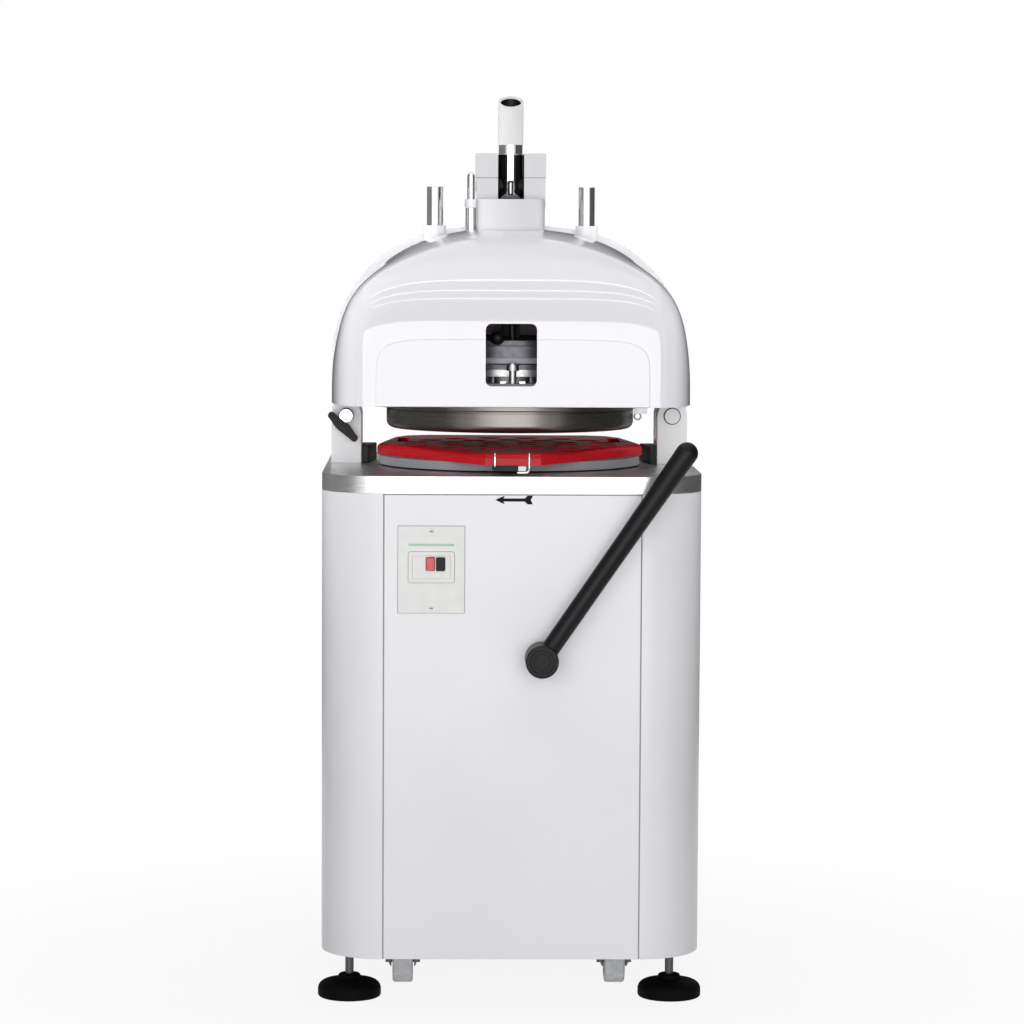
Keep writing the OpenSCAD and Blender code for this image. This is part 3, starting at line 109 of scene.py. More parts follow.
class RounderColours(bpy.types.PropertyGroup):
    """Colours of the finishes."""

    enamel: colour("White enamel", "Stove enamel on the cabinet", "E8E8EB")
    casting_white: colour("Casting enamel", "White enamel on the uprights and the head", "F7F7F9")
    housing: colour("Housing enamel", "Light grey enamel on the lever housing", "D6D6D8")
    gloss: colour("Gloss enamel", "Gloss enamel on the pressed covers", "E6E5EA")
    stainless: colour("Stainless steel", "Brushed stainless steel of the worktop", "D6D6D7")
    chrome: colour("Chrome", "Hard chrome on rods and tube", "DADADC")
    black: colour("Black plastic", "Moulded black plastic", "0F0F12")
    rubber: colour("Black rubber", "Moulded rubber of the feet", "050506")
    red: colour("Red plastic", "Cast red plastic of the mould plate", "B8111D")
    stop: colour("Stop red", "Red of the stop button", "C4161C")
    ring: colour("Ring alloy", "Grey hard anodising on the turned ring", "6C6865")
    table: colour("Table alloy", "Matt anodising on the turned table", "94949A")
    pale: colour("Pale plastic", "Pale plastic of the control plate and grip", "E2E3E1")
    wheel: colour("Grey wheel", "Grey tread and core of the wheels", "ECEDEF")
    steel: colour("Machined steel", "Bare machined steel", "9C9C9D")
    ground: colour("Ground steel", "Bright ground steel of the knives", "C6C7C9")
    alloy: colour("Press alloy", "Grey aluminium of the press head", "8C8E91")
    # Painted shade: the grey of the strips and frames that draw seams and gaps as dark lines
    gasket: colour("Gap shade grey", "Grey painted shade in the seams and gaps", "8F8D90")
    zinc: colour("Dark zinc", "Dark zinc plating on forks", "55565A")
    casting: colour("Grey casting", "Grey hammer paint on castings", "7C7E80")
    motor: colour("Motor paint", "Blue-grey motor enamel", "5B6570")
    stripe: colour("Stripe green", "Printed pale green of the control plate's stripe", "A9C9B4")
    mark: colour("Arrow black", "Printed black of the arrow", "09080C")


def sizes():
    return bpy.context.scene.rounder_sizes


def colours():
    return bpy.context.scene.rounder_colours


# Modelling helpers, with places and sizes in mm


def alone(obj):
    """Selects one object alone and makes it active."""
    if bpy.context.mode != "OBJECT":
        bpy.ops.object.mode_set(mode="OBJECT")
    bpy.ops.object.select_all(action="DESELECT")
    obj.select_set(True)
    bpy.context.view_layer.objects.active = obj


@contextmanager
def editing(obj, mode="FACE"):
    """Edit mode on one object, with all of it selected."""
    alone(obj)
    bpy.ops.object.mode_set(mode="EDIT")
    bpy.ops.mesh.select_mode(type=mode)
    bpy.ops.mesh.select_all(action="SELECT")
    yield
    bpy.ops.object.mode_set(mode="OBJECT")


def pick(obj, kind, wanted):
    """In edit mode, selects the faces, edges or verts that are wanted."""
    bpy.ops.mesh.select_all(action="DESELECT")
    mesh = bmesh.from_edit_mesh(obj.data)
    found = [item for item in getattr(mesh, kind) if wanted(item)]
    if not found:
        raise RuntimeError(f"{obj.name}: none of its {kind} is where it was looked for")
    for item in found:
        item.select_set(True)
    mesh.select_flush_mode()
    bmesh.update_edit_mesh(obj.data)


def modify(obj, kind, **settings):
    """Adds a modifier and applies it."""
    alone(obj)
    modifier = obj.modifiers.new(kind.title(), kind)
    for key, value in settings.items():
        setattr(modifier, key, value)
    bpy.ops.object.modifier_apply(modifier=modifier.name)


def settle(obj):
    """Moves an object's place, turn and scale into its mesh."""
    alone(obj)
    bpy.ops.object.transform_apply(location=True, rotation=True, scale=True)
    return obj


def box(node):
    """A CAD node's lowest and highest corners."""
    return [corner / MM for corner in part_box(node)]


def linked(name, data):
    """An object of a mesh, curve, lamp or camera, in the scene."""
    obj = bpy.data.objects.new(name, data)
    bpy.context.collection.objects.link(obj)
    return obj


def new_piece(name, points, edges=(), faces=()):
    """An object from points in metres, such as a profile to be spun."""
    mesh = bpy.data.meshes.new(name)
    mesh.from_pydata(points, edges, faces)
    return linked(name, mesh)


def primitive(adder, name, **settings):
    """A primitive, added with nothing else selected, ready to be shaped."""
    bpy.ops.object.select_all(action="DESELECT")
    adder(**settings)
    obj = bpy.context.active_object
    obj.name = name
    return obj


def slab(name, low, high):
    """A cube with its corners at two points, ready to be shaped."""
    low, high = Vector(low) * MM, Vector(high) * MM
    obj = primitive(bpy.ops.mesh.primitive_cube_add, name, size=1, location=(low + high) / 2)
    obj.scale = high - low
    return settle(obj)


def rounded_slab(name, low, high, corner, segments=5):
    """A slab that faces the front, with its four corners rounded."""
    obj = slab(name, low, high)
    with editing(obj, "EDGE"):
        pick(obj, "edges", lambda e: abs(e.verts[0].co.y - e.verts[1].co.y) > NEAR)
        bpy.ops.mesh.bevel(offset=corner * MM, segments=segments)
    return obj


def bar(name, start, end, radius, vertices=48):
    """A round bar between two points, ready to be shaped."""
    start, end = Vector(start) * MM, Vector(end) * MM
    turn = (end - start).to_track_quat("Z", "Y").to_euler()
    return settle(primitive(bpy.ops.mesh.primitive_cylinder_add, name, vertices=vertices, radius=radius * MM,
                            depth=(end - start).length, location=(start + end) / 2, rotation=turn))


def outward():
    """In edit mode, turns all faces outwards."""
    bpy.ops.mesh.select_all(action="SELECT")
    bpy.ops.mesh.normals_make_consistent(inside=False)


def turned(name, profile, centre=(0, 0, 0), along=(0, 0, 1), steps=64):
    """A profile of (radius, height) points, spun about a line through centre."""
    points = [(r * MM, 0, z * MM) for r, z in profile]
    obj = new_piece(name, points, [(i, i + 1) for i in range(len(points) - 1)])
    with editing(obj, "VERT"):
        bpy.ops.mesh.spin(steps=steps, angle=2 * math.pi, center=(0, 0, 0), axis=(0, 0, 1))
        bpy.ops.mesh.select_all(action="SELECT")
        bpy.ops.mesh.remove_doubles(threshold=NEAR)
        outward()
    turn = Vector(along).to_track_quat("Z", "Y").to_matrix().to_4x4()
    obj.matrix_world = Matrix.Translation(Vector(centre) * MM) @ turn
    return settle(obj)


def curve_points(mid, radius, start, end, steps):
    """Points of a round corner in a profile, between two angles in degrees."""
    turns = [math.radians(start + (end - start) * i / steps) for i in range(steps + 1)]
    return [(mid[0] + radius * math.cos(a), mid[1] + radius * math.sin(a)) for a in turns]


def ring_profile(inner, outer, low, high, lip):
    """The closed profile of a plain ring, with its outer edges broken."""
    return [(inner, low), (outer - lip, low), (outer, low + lip), (outer, high - lip), (outer - lip, high),
            (inner, high), (inner, low)]


def wire(name, points, radius):
    """A bent round wire along points."""
    curve = bpy.data.curves.new(name, "CURVE")
    curve.dimensions = "3D"
    curve.bevel_depth, curve.bevel_resolution, curve.resolution_u = radius * MM, 4, 6
    curve.use_fill_caps = True
    line = curve.splines.new("NURBS")
    line.points.add(len(points) - 1)
    for point, at in zip(line.points, points):
        point.co = (*(c * MM for c in at), 1)
    line.order_u, line.use_endpoint_u = 3, True
    alone(linked(name, curve))
    bpy.ops.object.convert(target="MESH")
    obj = bpy.context.active_object
    with editing(obj, "VERT"):
        bpy.ops.mesh.remove_doubles(threshold=NEAR)
        outward()
    return obj


def combine(obj, operation, *others):
    """Joins others with an object, or takes them out of it, and removes them."""
    for other in others:
        modify(obj, "BOOLEAN", operation=operation, object=other, solver="EXACT")
        bpy.data.objects.remove(other)


def soften(obj, width, segments=2, angle=30):
    """Rounds an object's edges that are sharper than an angle in degrees."""
    modify(obj, "BEVEL", width=width * MM, segments=segments, limit_method="ANGLE",
           angle_limit=math.radians(angle), use_clamp_overlap=True, miter_outer="MITER_ARC")


def copied(node, name):
    """A merged copy of a CAD node's mesh."""
    obj = linked(name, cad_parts[node].data.copy())
    alone(obj)
    bpy.ops.mesh.customdata_custom_splitnormals_clear()
    with editing(obj, "VERT"):
        bpy.ops.mesh.remove_doubles(threshold=2 * NEAR)
        bpy.ops.mesh.dissolve_limited(angle_limit=math.radians(0.5))
    return obj


def coat(mesh, finish_name):
    """Gives a mesh one finish all over."""
    mesh.materials.clear()
    mesh.materials.append(look(finish_name))


def done(obj, finish_name, body, *nodes, angle=32, slot=None):
    """Smooths a finished piece, coats it and lets it ride on its body in place of its nodes."""
    alone(obj)
    bpy.ops.object.shade_smooth_by_angle(angle=math.radians(angle))
    modify(obj, "WEIGHTED_NORMAL", keep_sharp=True, weight=60)
    coat(obj.data, finish_name)
    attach(obj, body)
    if nodes:
        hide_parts(*nodes)


def softened(node, kind, width, finish_name, body, segments=2):
    """A CAD node as a casting, moulding or other kind of piece, with its sharp edges rounded."""
    obj = copied(node, f"{node}_{kind}")
    soften(obj, width, segments)
    done(obj, finish_name, body, node)


def block(name, low, high, width, finish_name, body, segments=1):
    """A finished block between two points, with its edges rounded."""
    obj = slab(name, low, high)
    soften(obj, width, segments)
    done(obj, finish_name, body)


def dress(finish_name, *nodes):
    """Gives CAD nodes their finish as they are."""
    for node in nodes:
        coat(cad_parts[node].data, finish_name)


# Materials


def add(tree, kind, values=None, links=None):
    """Adds a shader node with its settings and links."""
    node = tree.nodes.new("ShaderNode" + kind)
    for key, value in (values or {}).items():
        if key in node.inputs:
            node.inputs[key].default_value = value
        else:
            setattr(node, key, value)
    for key, source in (links or {}).items():
        tree.links.new(source, node.inputs[key])
    return node


def finish(name, base, sockets):
    """A material with its constant values on the shader, its tree, its shader and its place on the piece."""
    material = bpy.data.materials.new(name)
    material.use_nodes = True
    tree = material.node_tree
    shader = tree.nodes["Principled BSDF"]
    shader.inputs["Base Color"].default_value = (*base, 1)
    for key, value in sockets.items():
        shader.inputs[key].default_value = value
    place = add(tree, "TexCoord").outputs["Object"]
    return material, tree, shader, place


def tint(base, factor):
    """A colour made lighter or darker."""
    return (*(min(1, c * factor) for c in base), 1)


def grain(tree, shader, place, size, rough, strength, depth, stretch=(1, 1, 1), detail=2.0):
    """Noise of a size in mm that varies the roughness and lifts the surface by a depth in mm."""
    mapped = add(tree, "Mapping", {"Scale": stretch}, {"Vector": place})
    noise = add(tree, "TexNoise", {"Scale": 1 / (size * MM), "Detail": detail, "Roughness": 0.55},
                {"Vector": mapped.outputs["Vector"]})
    level = add(tree, "MapRange", {"From Min": 0.3, "From Max": 0.7, "To Min": rough[0], "To Max": rough[1]},
                {"Value": noise.outputs["Fac"]})
    lift = add(tree, "Bump", {"Strength": strength, "Distance": depth * MM}, {"Height": noise.outputs["Fac"]})
    tree.links.new(level.outputs["Result"], shader.inputs["Roughness"])
    tree.links.new(lift.outputs["Normal"], shader.inputs["Normal"])


def shades(tree, shader, place, base, size, low, high, stretch=(1, 1, 1)):
    """Slow changes of a colour between two factors, over patches of a size in mm."""
    mapped = add(tree, "Mapping", {"Scale": stretch}, {"Vector": place})
    noise = add(tree, "TexNoise", {"Scale": 1 / (size * MM), "Detail": 3.0},
                {"Vector": mapped.outputs["Vector"]})
    ramp = add(tree, "ValToRGB", None, {"Fac": noise.outputs["Fac"]})
    ramp.color_ramp.elements[0].position = 0.3
    ramp.color_ramp.elements[1].position = 0.7
    ramp.color_ramp.elements[0].color = tint(base, low)
    ramp.color_ramp.elements[1].color = tint(base, high)
    tree.links.new(ramp.outputs["Color"], shader.inputs["Base Color"])


# Each finish has its slot in the record, its colour, its patches (mm across, darkest and lightest share of
# the colour, stretch), its grain (mm across, roughness from and to, strength, depth in mm, stretch, detail)
# and the constants on its shader
FINISHES = {
    # Stove enamel on sheet steel: a smooth skin with a faint orange peel about 3 mm across
    "stove_enamel_white": ("white_paint", "enamel", (260, 0.97, 1.02), (3.0, (0.30, 0.38), 0.05, 0.12),
        {"IOR": 1.5, "Coat Weight": 0.15, "Coat Roughness": 0.2}),
    # White enamel on cast iron: a smooth skin over faint casting waves about 6 mm across
    "stove_enamel_cast_iron": ("white_paint", "casting_white", (200, 0.98, 1.01),
        (6.0, (0.30, 0.38), 0.05, 0.15), {"IOR": 1.5, "Coat Weight": 0.15, "Coat Roughness": 0.2}),
    # Light grey enamel on the lever housing: smooth satin paint with a faint orange peel about 3 mm across
    "satin_enamel_light_grey": ("white_paint", "housing", (180, 0.97, 1.02), (3.0, (0.34, 0.42), 0.05, 0.12),
        {"IOR": 1.5}),
    # Gloss enamel on pressed steel: deep gloss that mirrors the lamps, with long soft waves in the sheet
    "gloss_enamel_white": ("white_paint", "gloss", (320, 0.98, 1.01),
        (60.0, (0.12, 0.17), 0.05, 0.25, (1, 1, 1), 1.0),
        {"IOR": 1.52, "Specular IOR Level": 0.3, "Coat Weight": 1.0, "Coat Roughness": 0.02}),
    # Brushed stainless sheet: fine scratches along the band, drawn 0.9 mm apart so that they show
    "brushed_stainless_steel": ("steel_band", "stainless", (0.9, 0.90, 1.06, (0.006, 0.05, 1.0)),
        (0.9, (0.26, 0.40), 0.12, 0.05, (0.006, 0.05, 1.0)), {"Metallic": 1.0}),
    # Hard chrome on ground rods: a bright mirror with a faint grinding bloom
    "hard_chrome": ("chrome", "chrome", (40, 0.96, 1.02), (6.0, (0.06, 0.13), 0.03, 0.02, (1, 1, 4)),
        {"Metallic": 1.0}),
    # Moulded black nylon: satin, with a spark-eroded grain about 0.9 mm across
    "moulded_black_nylon": ("black_plastic", "black", (60, 0.85, 1.25), (0.9, (0.34, 0.46), 0.18, 0.12),
        {"IOR": 1.53, "Specular IOR Level": 0.15}),
    # Moulded rubber: dull and slightly dusty, with a fine open grain
    "moulded_black_rubber": ("black_rubber", "rubber", (25, 0.8, 1.5), (1.4, (0.62, 0.8), 0.2, 0.15),
        {"IOR": 1.52, "Specular IOR Level": 0.06}),
    # Cast polyurethane: a wet-looking gloss over deep red, with faint flow waves
    "cast_red_polyurethane": ("red_plastic", "red", (90, 0.92, 1.06), (14.0, (0.14, 0.24), 0.06, 0.2),
        {"IOR": 1.5, "Specular IOR Level": 0.14}),
    # Moulded red ABS of the stop button: semi-gloss
    "moulded_red_abs": ("stop_red", "stop", (8, 0.95, 1.04), (0.8, (0.22, 0.32), 0.1, 0.05), {"IOR": 1.54}),
    # Hard anodised turned aluminium: brown-grey metal with lathe lines 1.2 mm apart
    "hard_anodised_aluminium": ("ring_alloy", "ring", (1.2, 0.88, 1.08, (0.01, 0.01, 1.0)),
        (1.2, (0.22, 0.34), 0.1, 0.06, (0.01, 0.01, 1.0)), {"Metallic": 0.9}),
    # Matt anodised turned aluminium: even grey with faint lathe lines 1.2 mm apart
    "matt_anodised_aluminium": ("table_alloy", "table", (70, 0.95, 1.04),
        (1.2, (0.46, 0.56), 0.08, 0.05, (0.02, 0.02, 1.0)), {"Metallic": 0.25}),
    # Machined aluminium of the press head: satin grey with soft handling marks
    "machined_aluminium": ("table_alloy", "alloy", (70, 0.9, 1.06),
        (1.0, (0.34, 0.46), 0.1, 0.05, (0.02, 0.02, 1.0)), {"Metallic": 0.9}),
    # Grey painted shade for seams, gaps and steps: dull, with a fine grain
    "moulded_grey_rubber": ("frame_steel", "gasket", (20, 0.94, 1.06), (0.9, (0.55, 0.7), 0.1, 0.05),
        {"IOR": 1.52}),
    # Moulded pale ABS: fine satin grain
    "moulded_pale_abs": ("pale_plastic", "pale", (30, 0.96, 1.03), (0.8, (0.34, 0.44), 0.12, 0.06),
        {"IOR": 1.54}),
    # Moulded grey polyamide and rubber of the wheels: dull, with scuffs
    "moulded_grey_polyamide": ("grey_wheel", "wheel", (9, 0.82, 1.05), (1.2, (0.42, 0.58), 0.15, 0.1),
        {"IOR": 1.53}),
    # Milled steel: grey metal with tool marks 1.5 mm apart
    "machined_steel": ("machined_steel", "steel", (12, 0.88, 1.06),
        (1.5, (0.28, 0.42), 0.12, 0.06, (0.3, 1.0, 0.6)), {"Metallic": 1.0}),
    # Ground steel: bright metal with grinding lines 1 mm apart
    "ground_steel": ("machined_steel", "ground", (15, 0.92, 1.05),
        (1.0, (0.22, 0.34), 0.1, 0.05, (0.1, 1.0, 1.0)), {"Metallic": 1.0}),
    # Black zinc plating on pressed forks: dark satin metal, patchy where it was dipped
    "black_zinc_plate": ("frame_steel", "zinc", (11, 0.8, 1.2), (2.0, (0.34, 0.5), 0.12, 0.08),
        {"Metallic": 0.85}),
    # Painted iron casting: a lumpy sand-cast skin about 4 mm across under grey paint
    "painted_grey_casting": ("cast_grey", "casting", (45, 0.9, 1.08), (4.0, (0.4, 0.55), 0.25, 0.3),
        {"IOR": 1.5}),
    # Blue-grey motor enamel over cast fins: semi-gloss with a cast skin
    "motor_enamel": ("motor_paint", "motor", (40, 0.9, 1.08), (3.0, (0.32, 0.45), 0.2, 0.2), {"IOR": 1.5}),
    # Screen-printed black ink: flat and slightly rough
    "printed_black_ink": ("black_plastic", "mark", (5, 0.9, 1.2), (0.7, (0.45, 0.55), 0.05, 0.02),
        {"IOR": 1.48, "Specular IOR Level": 0.1}),
    # Screen-printed pale green ink: flat and slightly rough
    "printed_green_ink": ("pale_plastic", "stripe", (5, 0.96, 1.04), (0.7, (0.45, 0.55), 0.05, 0.02),
        {"IOR": 1.48}),
}
made = {}


def look(name):
    """A finish's material, made on its first use."""
    if name not in made:
        shade, patches, grit, sockets = FINISHES[name][1:]
        base = getattr(colours(), shade)
        made[name], tree, shader, place = finish(name, base, sockets)
        shades(tree, shader, place, base, *patches)
        grain(tree, shader, place, *grit)
    return made[name]


# Pieces


class ROUNDER_OT_cabinet(bpy.types.Operator):
    """Rounds and enamels the cabinet's folded panels and puts grey strips in their seams as painted shade"""

    bl_idname = "rounder.cabinet"
    bl_label = "Cabinet panels"

    def execute(self, context):
        for node in ("left_side_panel", "right_side_panel", "front_panel"):
            softened(node, "sheet", sizes().panel_edge / MM, "stove_enamel_white", "base")
        dress("stove_enamel_white", "rear_panel")
        low, high = box("front_panel")
        wide = 3
        # Grey strips behind the side seams and along the front panel's top edge under the band: painted shade
        # that draws the gaps as dark lines
        for side, x in (("left", low.x - 2.5), ("right", high.x - 0.5)):
            block(f"panel_seam_{side}", (x, low.y + 0.9, low.z + 0.5), (x + wide, low.y + 1.8, high.z - 0.2),
                  0.2, "moulded_grey_rubber", "base")
        block("panel_seam_top", (low.x, low.y - 0.25, high.z - 2.2), (high.x, low.y + 0.5, high.z - 0.6),
              0.1, "moulded_grey_rubber", "base")
        return {"FINISHED"}


class ROUNDER_OT_worktop(bpy.types.Operator):
    """Rounds and brushes the worktop with its band"""

    bl_idname = "rounder.worktop"
    bl_label = "Worktop"

    def execute(self, context):
        softened("worktop", "sheet", sizes().panel_edge / MM, "brushed_stainless_steel", "base")
        return {"FINISHED"}


class ROUNDER_OT_uprights(bpy.types.Operator):
    """Rounds the uprights, the plate guides and the hinge pin's cap, with a black ring of painted shade round
    the cap
    """

    bl_idname = "rounder.uprights"
    bl_label = "Uprights"

    def execute(self, context):
        s = sizes()
        for node in ("left_upright", "right_upright"):
            softened(node, "casting", s.casting_edge / MM, "stove_enamel_cast_iron", "base", 3)
        softened("plate_guides", "moulding", s.moulded_edge / MM, "moulded_black_nylon", "base")
        softened("hinge_pin", "turning", s.machined_edge / MM, "stove_enamel_cast_iron", "base")
        low, high = box("hinge_pin")
        middle, reach = (low + high) / 2, (high.x - low.x) / 2
        # A black ring round the cap's rim: painted shade of the gap round the cap
        inner, outer, back, front = reach - 2, reach + 0.6, 0.05, 1.7
        profile = [(inner, back), (outer, back), (outer, 1.2), (reach, front), (inner, front), (inner, back)]
        shade_ring = turned("hinge_cap_seal", profile, (middle.x, box("right_upright")[0].y, middle.z), FORWARD)
        done(shade_ring, "moulded_black_nylon", "base", angle=LATHE_ANGLE)
        return {"FINISHED"}


def cover_skin(name, start, straight, depth, way, columns=112, rows=44):
    """The pressed sheet of a cover, from an open arch to a flat end that stands a little proud, in metres."""
    low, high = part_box("front_cover")
    half, foot, top = high.x, low.z, high.z
    s = sizes()
    spring = foot + s.spring_height
    depth -= s.facet_lip
    spacing, side_curve, top_curve = 0.8, 3, 2.2  # powers of the rows' spacing and of the sheet's narrowing
    arch_curve, squarer, late = 2.5, 4.5, 4  # power of the open arch, its growth and how late that comes
    margin, many = 4 * MM, 8  # inset of the flat end, which alone has many corners
    obj = primitive(bpy.ops.mesh.primitive_grid_add, name, size=2, x_subdivisions=columns,
                    y_subdivisions=rows)
    for vertex in obj.data.vertices:
        across = round((vertex.co.x + 1) / 2 * columns)
        deep = round((vertex.co.y + 1) / 2 * rows)
        u = math.sin(math.pi / 2 * max(0, deep - 1) / (rows - 1)) ** spacing
        y = start + way * (0 if deep == 0 else straight + depth * u)
        wide = s.facet_half + (half - s.facet_half) * (1 - u ** side_curve) ** (1 / side_curve)
        fall = (1 - u ** top_curve) ** (1 / top_curve)
        rise = foot + s.facet_height + (top - foot - s.facet_height) * fall - spring
        power = 2 / (arch_curve + squarer * u ** late)
        turn = math.pi * (1 - min(max(across - 1, 0), columns - 2) / (columns - 2))
        x = wide * math.copysign(abs(math.cos(turn)) ** power, math.cos(turn))
        z = spring + rise * abs(math.sin(turn)) ** power
        vertex.co = (x, y, foot if across in (0, columns) else z)
    end = start + way * (straight + depth)
    with editing(obj, "VERT"):
        pick(obj, "verts", lambda v: abs(v.co.y - end) < NEAR)
        bpy.ops.mesh.edge_face_add()
        bpy.ops.mesh.select_mode(type="FACE")
        pick(obj, "faces", lambda f: len(f.verts) > many)
        bpy.ops.mesh.inset(thickness=margin, use_boundary=True)
        outward()
    flat = max(obj.data.polygons, key=lambda f: f.area)
    if flat.normal.y * way < 0:
        with editing(obj):
            bpy.ops.mesh.flip_normals()
    modify(obj, "SOLIDIFY", thickness=s.cover_wall, offset=-1, use_even_offset=True)
    lip = end + way * s.facet_lip
    with editing(obj):
        pick(obj, "faces", lambda f: f.normal.y * way > 0.99
             and all(abs(v.co.y - end) < NEAR for v in f.verts))
        bpy.ops.mesh.extrude_region_move(TRANSFORM_OT_translate={"value": (0, lip - end, 0)})
        bpy.ops.mesh.select_mode(type="EDGE")
        pick(obj, "edges", lambda e: all(abs(v.co.y - lip) < NEAR for v in e.verts)
             and any(abs(f.normal.y) < 0.5 for f in e.link_faces))
        bpy.ops.mesh.bevel(offset=s.facet_lip / 2, segments=4)
    return obj


class ROUNDER_OT_covers(bpy.types.Operator):
    """Presses the front cover with its window and the rear cover"""

    bl_idname = "rounder.covers"
    bl_label = "Head covers"

    def execute(self, context):
        s = sizes()
        low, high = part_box("front_cover")
        front = cover_skin("front_cover_pressing", high.y, high.y, -low.y, -1)
        mid, sill, face = -3, low.z / MM + 34, low.y / MM
        half, tall = s.window_width / 2 / MM, s.window_height / MM
        cutters = [rounded_slab("window_cutter", (mid - half, face - 20, sill),
                                (mid + half, face + 100, sill + tall), s.window_corner / MM, 8)]
        under, over, rod_x = 1100, 1400, 127.5
        holes = ((0, 58.5, 96), (-rod_x, 19.5, 48), (rod_x, 19.5, 48), (KNIFE_ROD_X, 9.5, 48))
        for x, radius, around in holes:
            cutters.append(bar("hole_cutter", (x, 0, under), (x, 0, over), radius, around))
        combine(front, "DIFFERENCE", *cutters)
        self.enamel(front, "front_cover")
        low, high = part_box("rear_cover")
        clear = 0.6 * MM
        rear = cover_skin("rear_cover_pressing", low.y + clear, 0, high.y - low.y - clear, 1)
        self.enamel(rear, "rear_cover")
        return {"FINISHED"}

    def enamel(self, cover, node):
        """Breaks a cover's edges and gives it its gloss."""
        soften(cover, 0.9, 2, 50)
        done(cover, "gloss_enamel_white", "head", node, angle=40)


class ROUNDER_OT_head(bpy.types.Operator):
    """Rounds the head's arch and the lever housing, and coils the return spring"""

    bl_idname = "rounder.head"
    bl_label = "Head castings"

    def execute(self, context):
        edge = sizes().casting_edge / MM
        softened("head_frame", "casting", edge, "stove_enamel_cast_iron", "head", 3)
        softened("lever_housing", "casting", edge, "satin_enamel_light_grey", "head", 3)
        dress("painted_grey_casting", "head_plate")
        self.spring()
        inner, outer, base, top = 8.2, 9.2, 1262, 1298.5
        profile = [(inner, base), (outer - 0.3, base), (outer, base + 0.4), (outer, top - 0.5),
                   (outer - 0.3, top), (inner, top), (inner, base)]
        sleeve = turned("knife_sleeve", profile, (KNIFE_ROD_X, 0, 0))
        done(sleeve, "hard_chrome", "head", angle=LATHE_ANGLE)
        trims = (
            # A grey strip at the step between the housing's two blocks: painted shade of the step
            ("housing_seam", (22, -5.2, 1349.2), (58.6, 20, 1350.1), 0.2, "moulded_grey_rubber", 1),
            ("hanger_guide", (10.6, -221, 1011.6), (20.6, -207, 1016), 0.8, "ground_steel", 2),
        )
        for side, way in SIDES:
            near, far = sorted((way * 21.4, way * 22.2))
            # Black sheets on the inner faces of the housing's slot: painted shade and a painted dark
            # reflection beside the lever tube
            shade_sheet = slab(f"slot_liner_{side}", (near, -3.4, 1312.6), (far, 72.4, 1389))
            combine(shade_sheet, "DIFFERENCE", bar("shaft_cutter", (near - 10, PIVOT_Y, PIVOT_Z),
                                             (far + 10, PIVOT_Y, PIVOT_Z), 10))
            soften(shade_sheet, 0.15, 1)
            done(shade_sheet, "moulded_black_nylon", "head")
            for name, low, high, width, finish_name, segments in trims:
                near, far = sorted((way * low[0], way * high[0]))
                block(f"{name}_{side}", (near, *low[1:]), (far, *high[1:]), width, finish_name, "head",
                      segments)
        return {"FINISHED"}

    def spring(self):
        """The return spring as a round coil."""
        low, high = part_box("return_spring")
        turns, around, wire_radius, travel = 8, 24, 3.0, 30 * MM
        radius = (high.x - low.x) / 2 / MM - wire_radius
        start, end = low.z / MM + wire_radius, high.z / MM - wire_radius
        points = []
        for i in range(turns * around + 1):
            turn = 2 * math.pi * i / around
            rise = start + (end - start) * i / (turns * around)
            points.append((radius * math.cos(turn), radius * math.sin(turn), rise))
        coil = wire("return_spring_coil", points, wire_radius)
        done(coil, "machined_steel", "head", "return_spring")
        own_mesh(coil)


class ROUNDER_OT_ring(bpy.types.Operator):
    """Turns the retaining ring with its rounded lip, groove and flange"""

    bl_idname = "rounder.ring"
    bl_label = "Retaining ring"

    def execute(self, context):
        low, high = box("retaining_ring")
        base, top, flange = low.z, high.z, high.x
        inner, outer, groove = 192.5, 208.0, top - 14
        profile = [(inner, base + 1), (inner + 1, base)]
        profile += curve_points((outer - 12, base + 12), 12, -90, 0, 10)
        profile += [(outer, groove - 0.4), (outer - 0.4, groove), (outer - 2, groove),
                    (outer - 2, groove + 2), (outer - 0.4, groove + 2), (outer, groove + 2.4),
                    (outer, groove + 4)]
        profile += curve_points((flange - 2, top - 8), 2, -90, 0, 4)
        profile += curve_points((flange - 2, top - 2), 2, 0, 90, 4)
        profile += [(inner + 1, top), (inner, top - 1), (inner, base + 1)]
        ring = turned("retaining_ring_turning", profile, steps=192)
        done(ring, "hard_anodised_aluminium", "ring", "retaining_ring", angle=LATHE_ANGLE)
        softened("ring_hangers", "turning", 0.6, "machined_steel", "ring")
        return {"FINISHED"}


class ROUNDER_OT_press(bpy.types.Operator):
    """Finishes the press head, its knives, its rods and the catch lever"""

    bl_idname = "rounder.press"
    bl_label = "Press"

    def execute(self, context):
        dress("machined_aluminium", "press_head")
        dress("machined_steel", "knife_set", "press_column")
        rim = box("press_head")[1].z
        hoops = (
            ("carrier_rim", "press", "black_zinc_plate", 171, 178, rim - 0.4, rim + 9),
            ("carrier_band", "press", "black_zinc_plate", 187.6, 190.0, rim - 19.6, rim - 0.2),
            ("carrier_skirt", "press", "matt_anodised_aluminium", 190.5, 191.7, rim - 28.4, rim - 19.2),
            ("knife_plate_band", "knife", "black_zinc_plate", 189.2, 190.3, rim - 38.2, rim - 29.8),
            ("knife_band", "knife", "machined_steel", 188.8, 189.9, rim - 50, rim - 38),
        )
        lip = 0.4
        for name, body, metal, *reach in hoops:
            hoop = turned(name, ring_profile(*reach, lip), steps=144)
            done(hoop, metal, body, angle=LATHE_ANGLE, slot="machined_steel")
        softened("guide_rods", "turning", 1.6, "hard_chrome", "press", 3)
        softened("knife_rod", "turning", 0.6, "hard_chrome", "knife")
        softened("catch_lever", "moulding", 0.6, "moulded_black_nylon", "catch_lever")
        return {"FINISHED"}


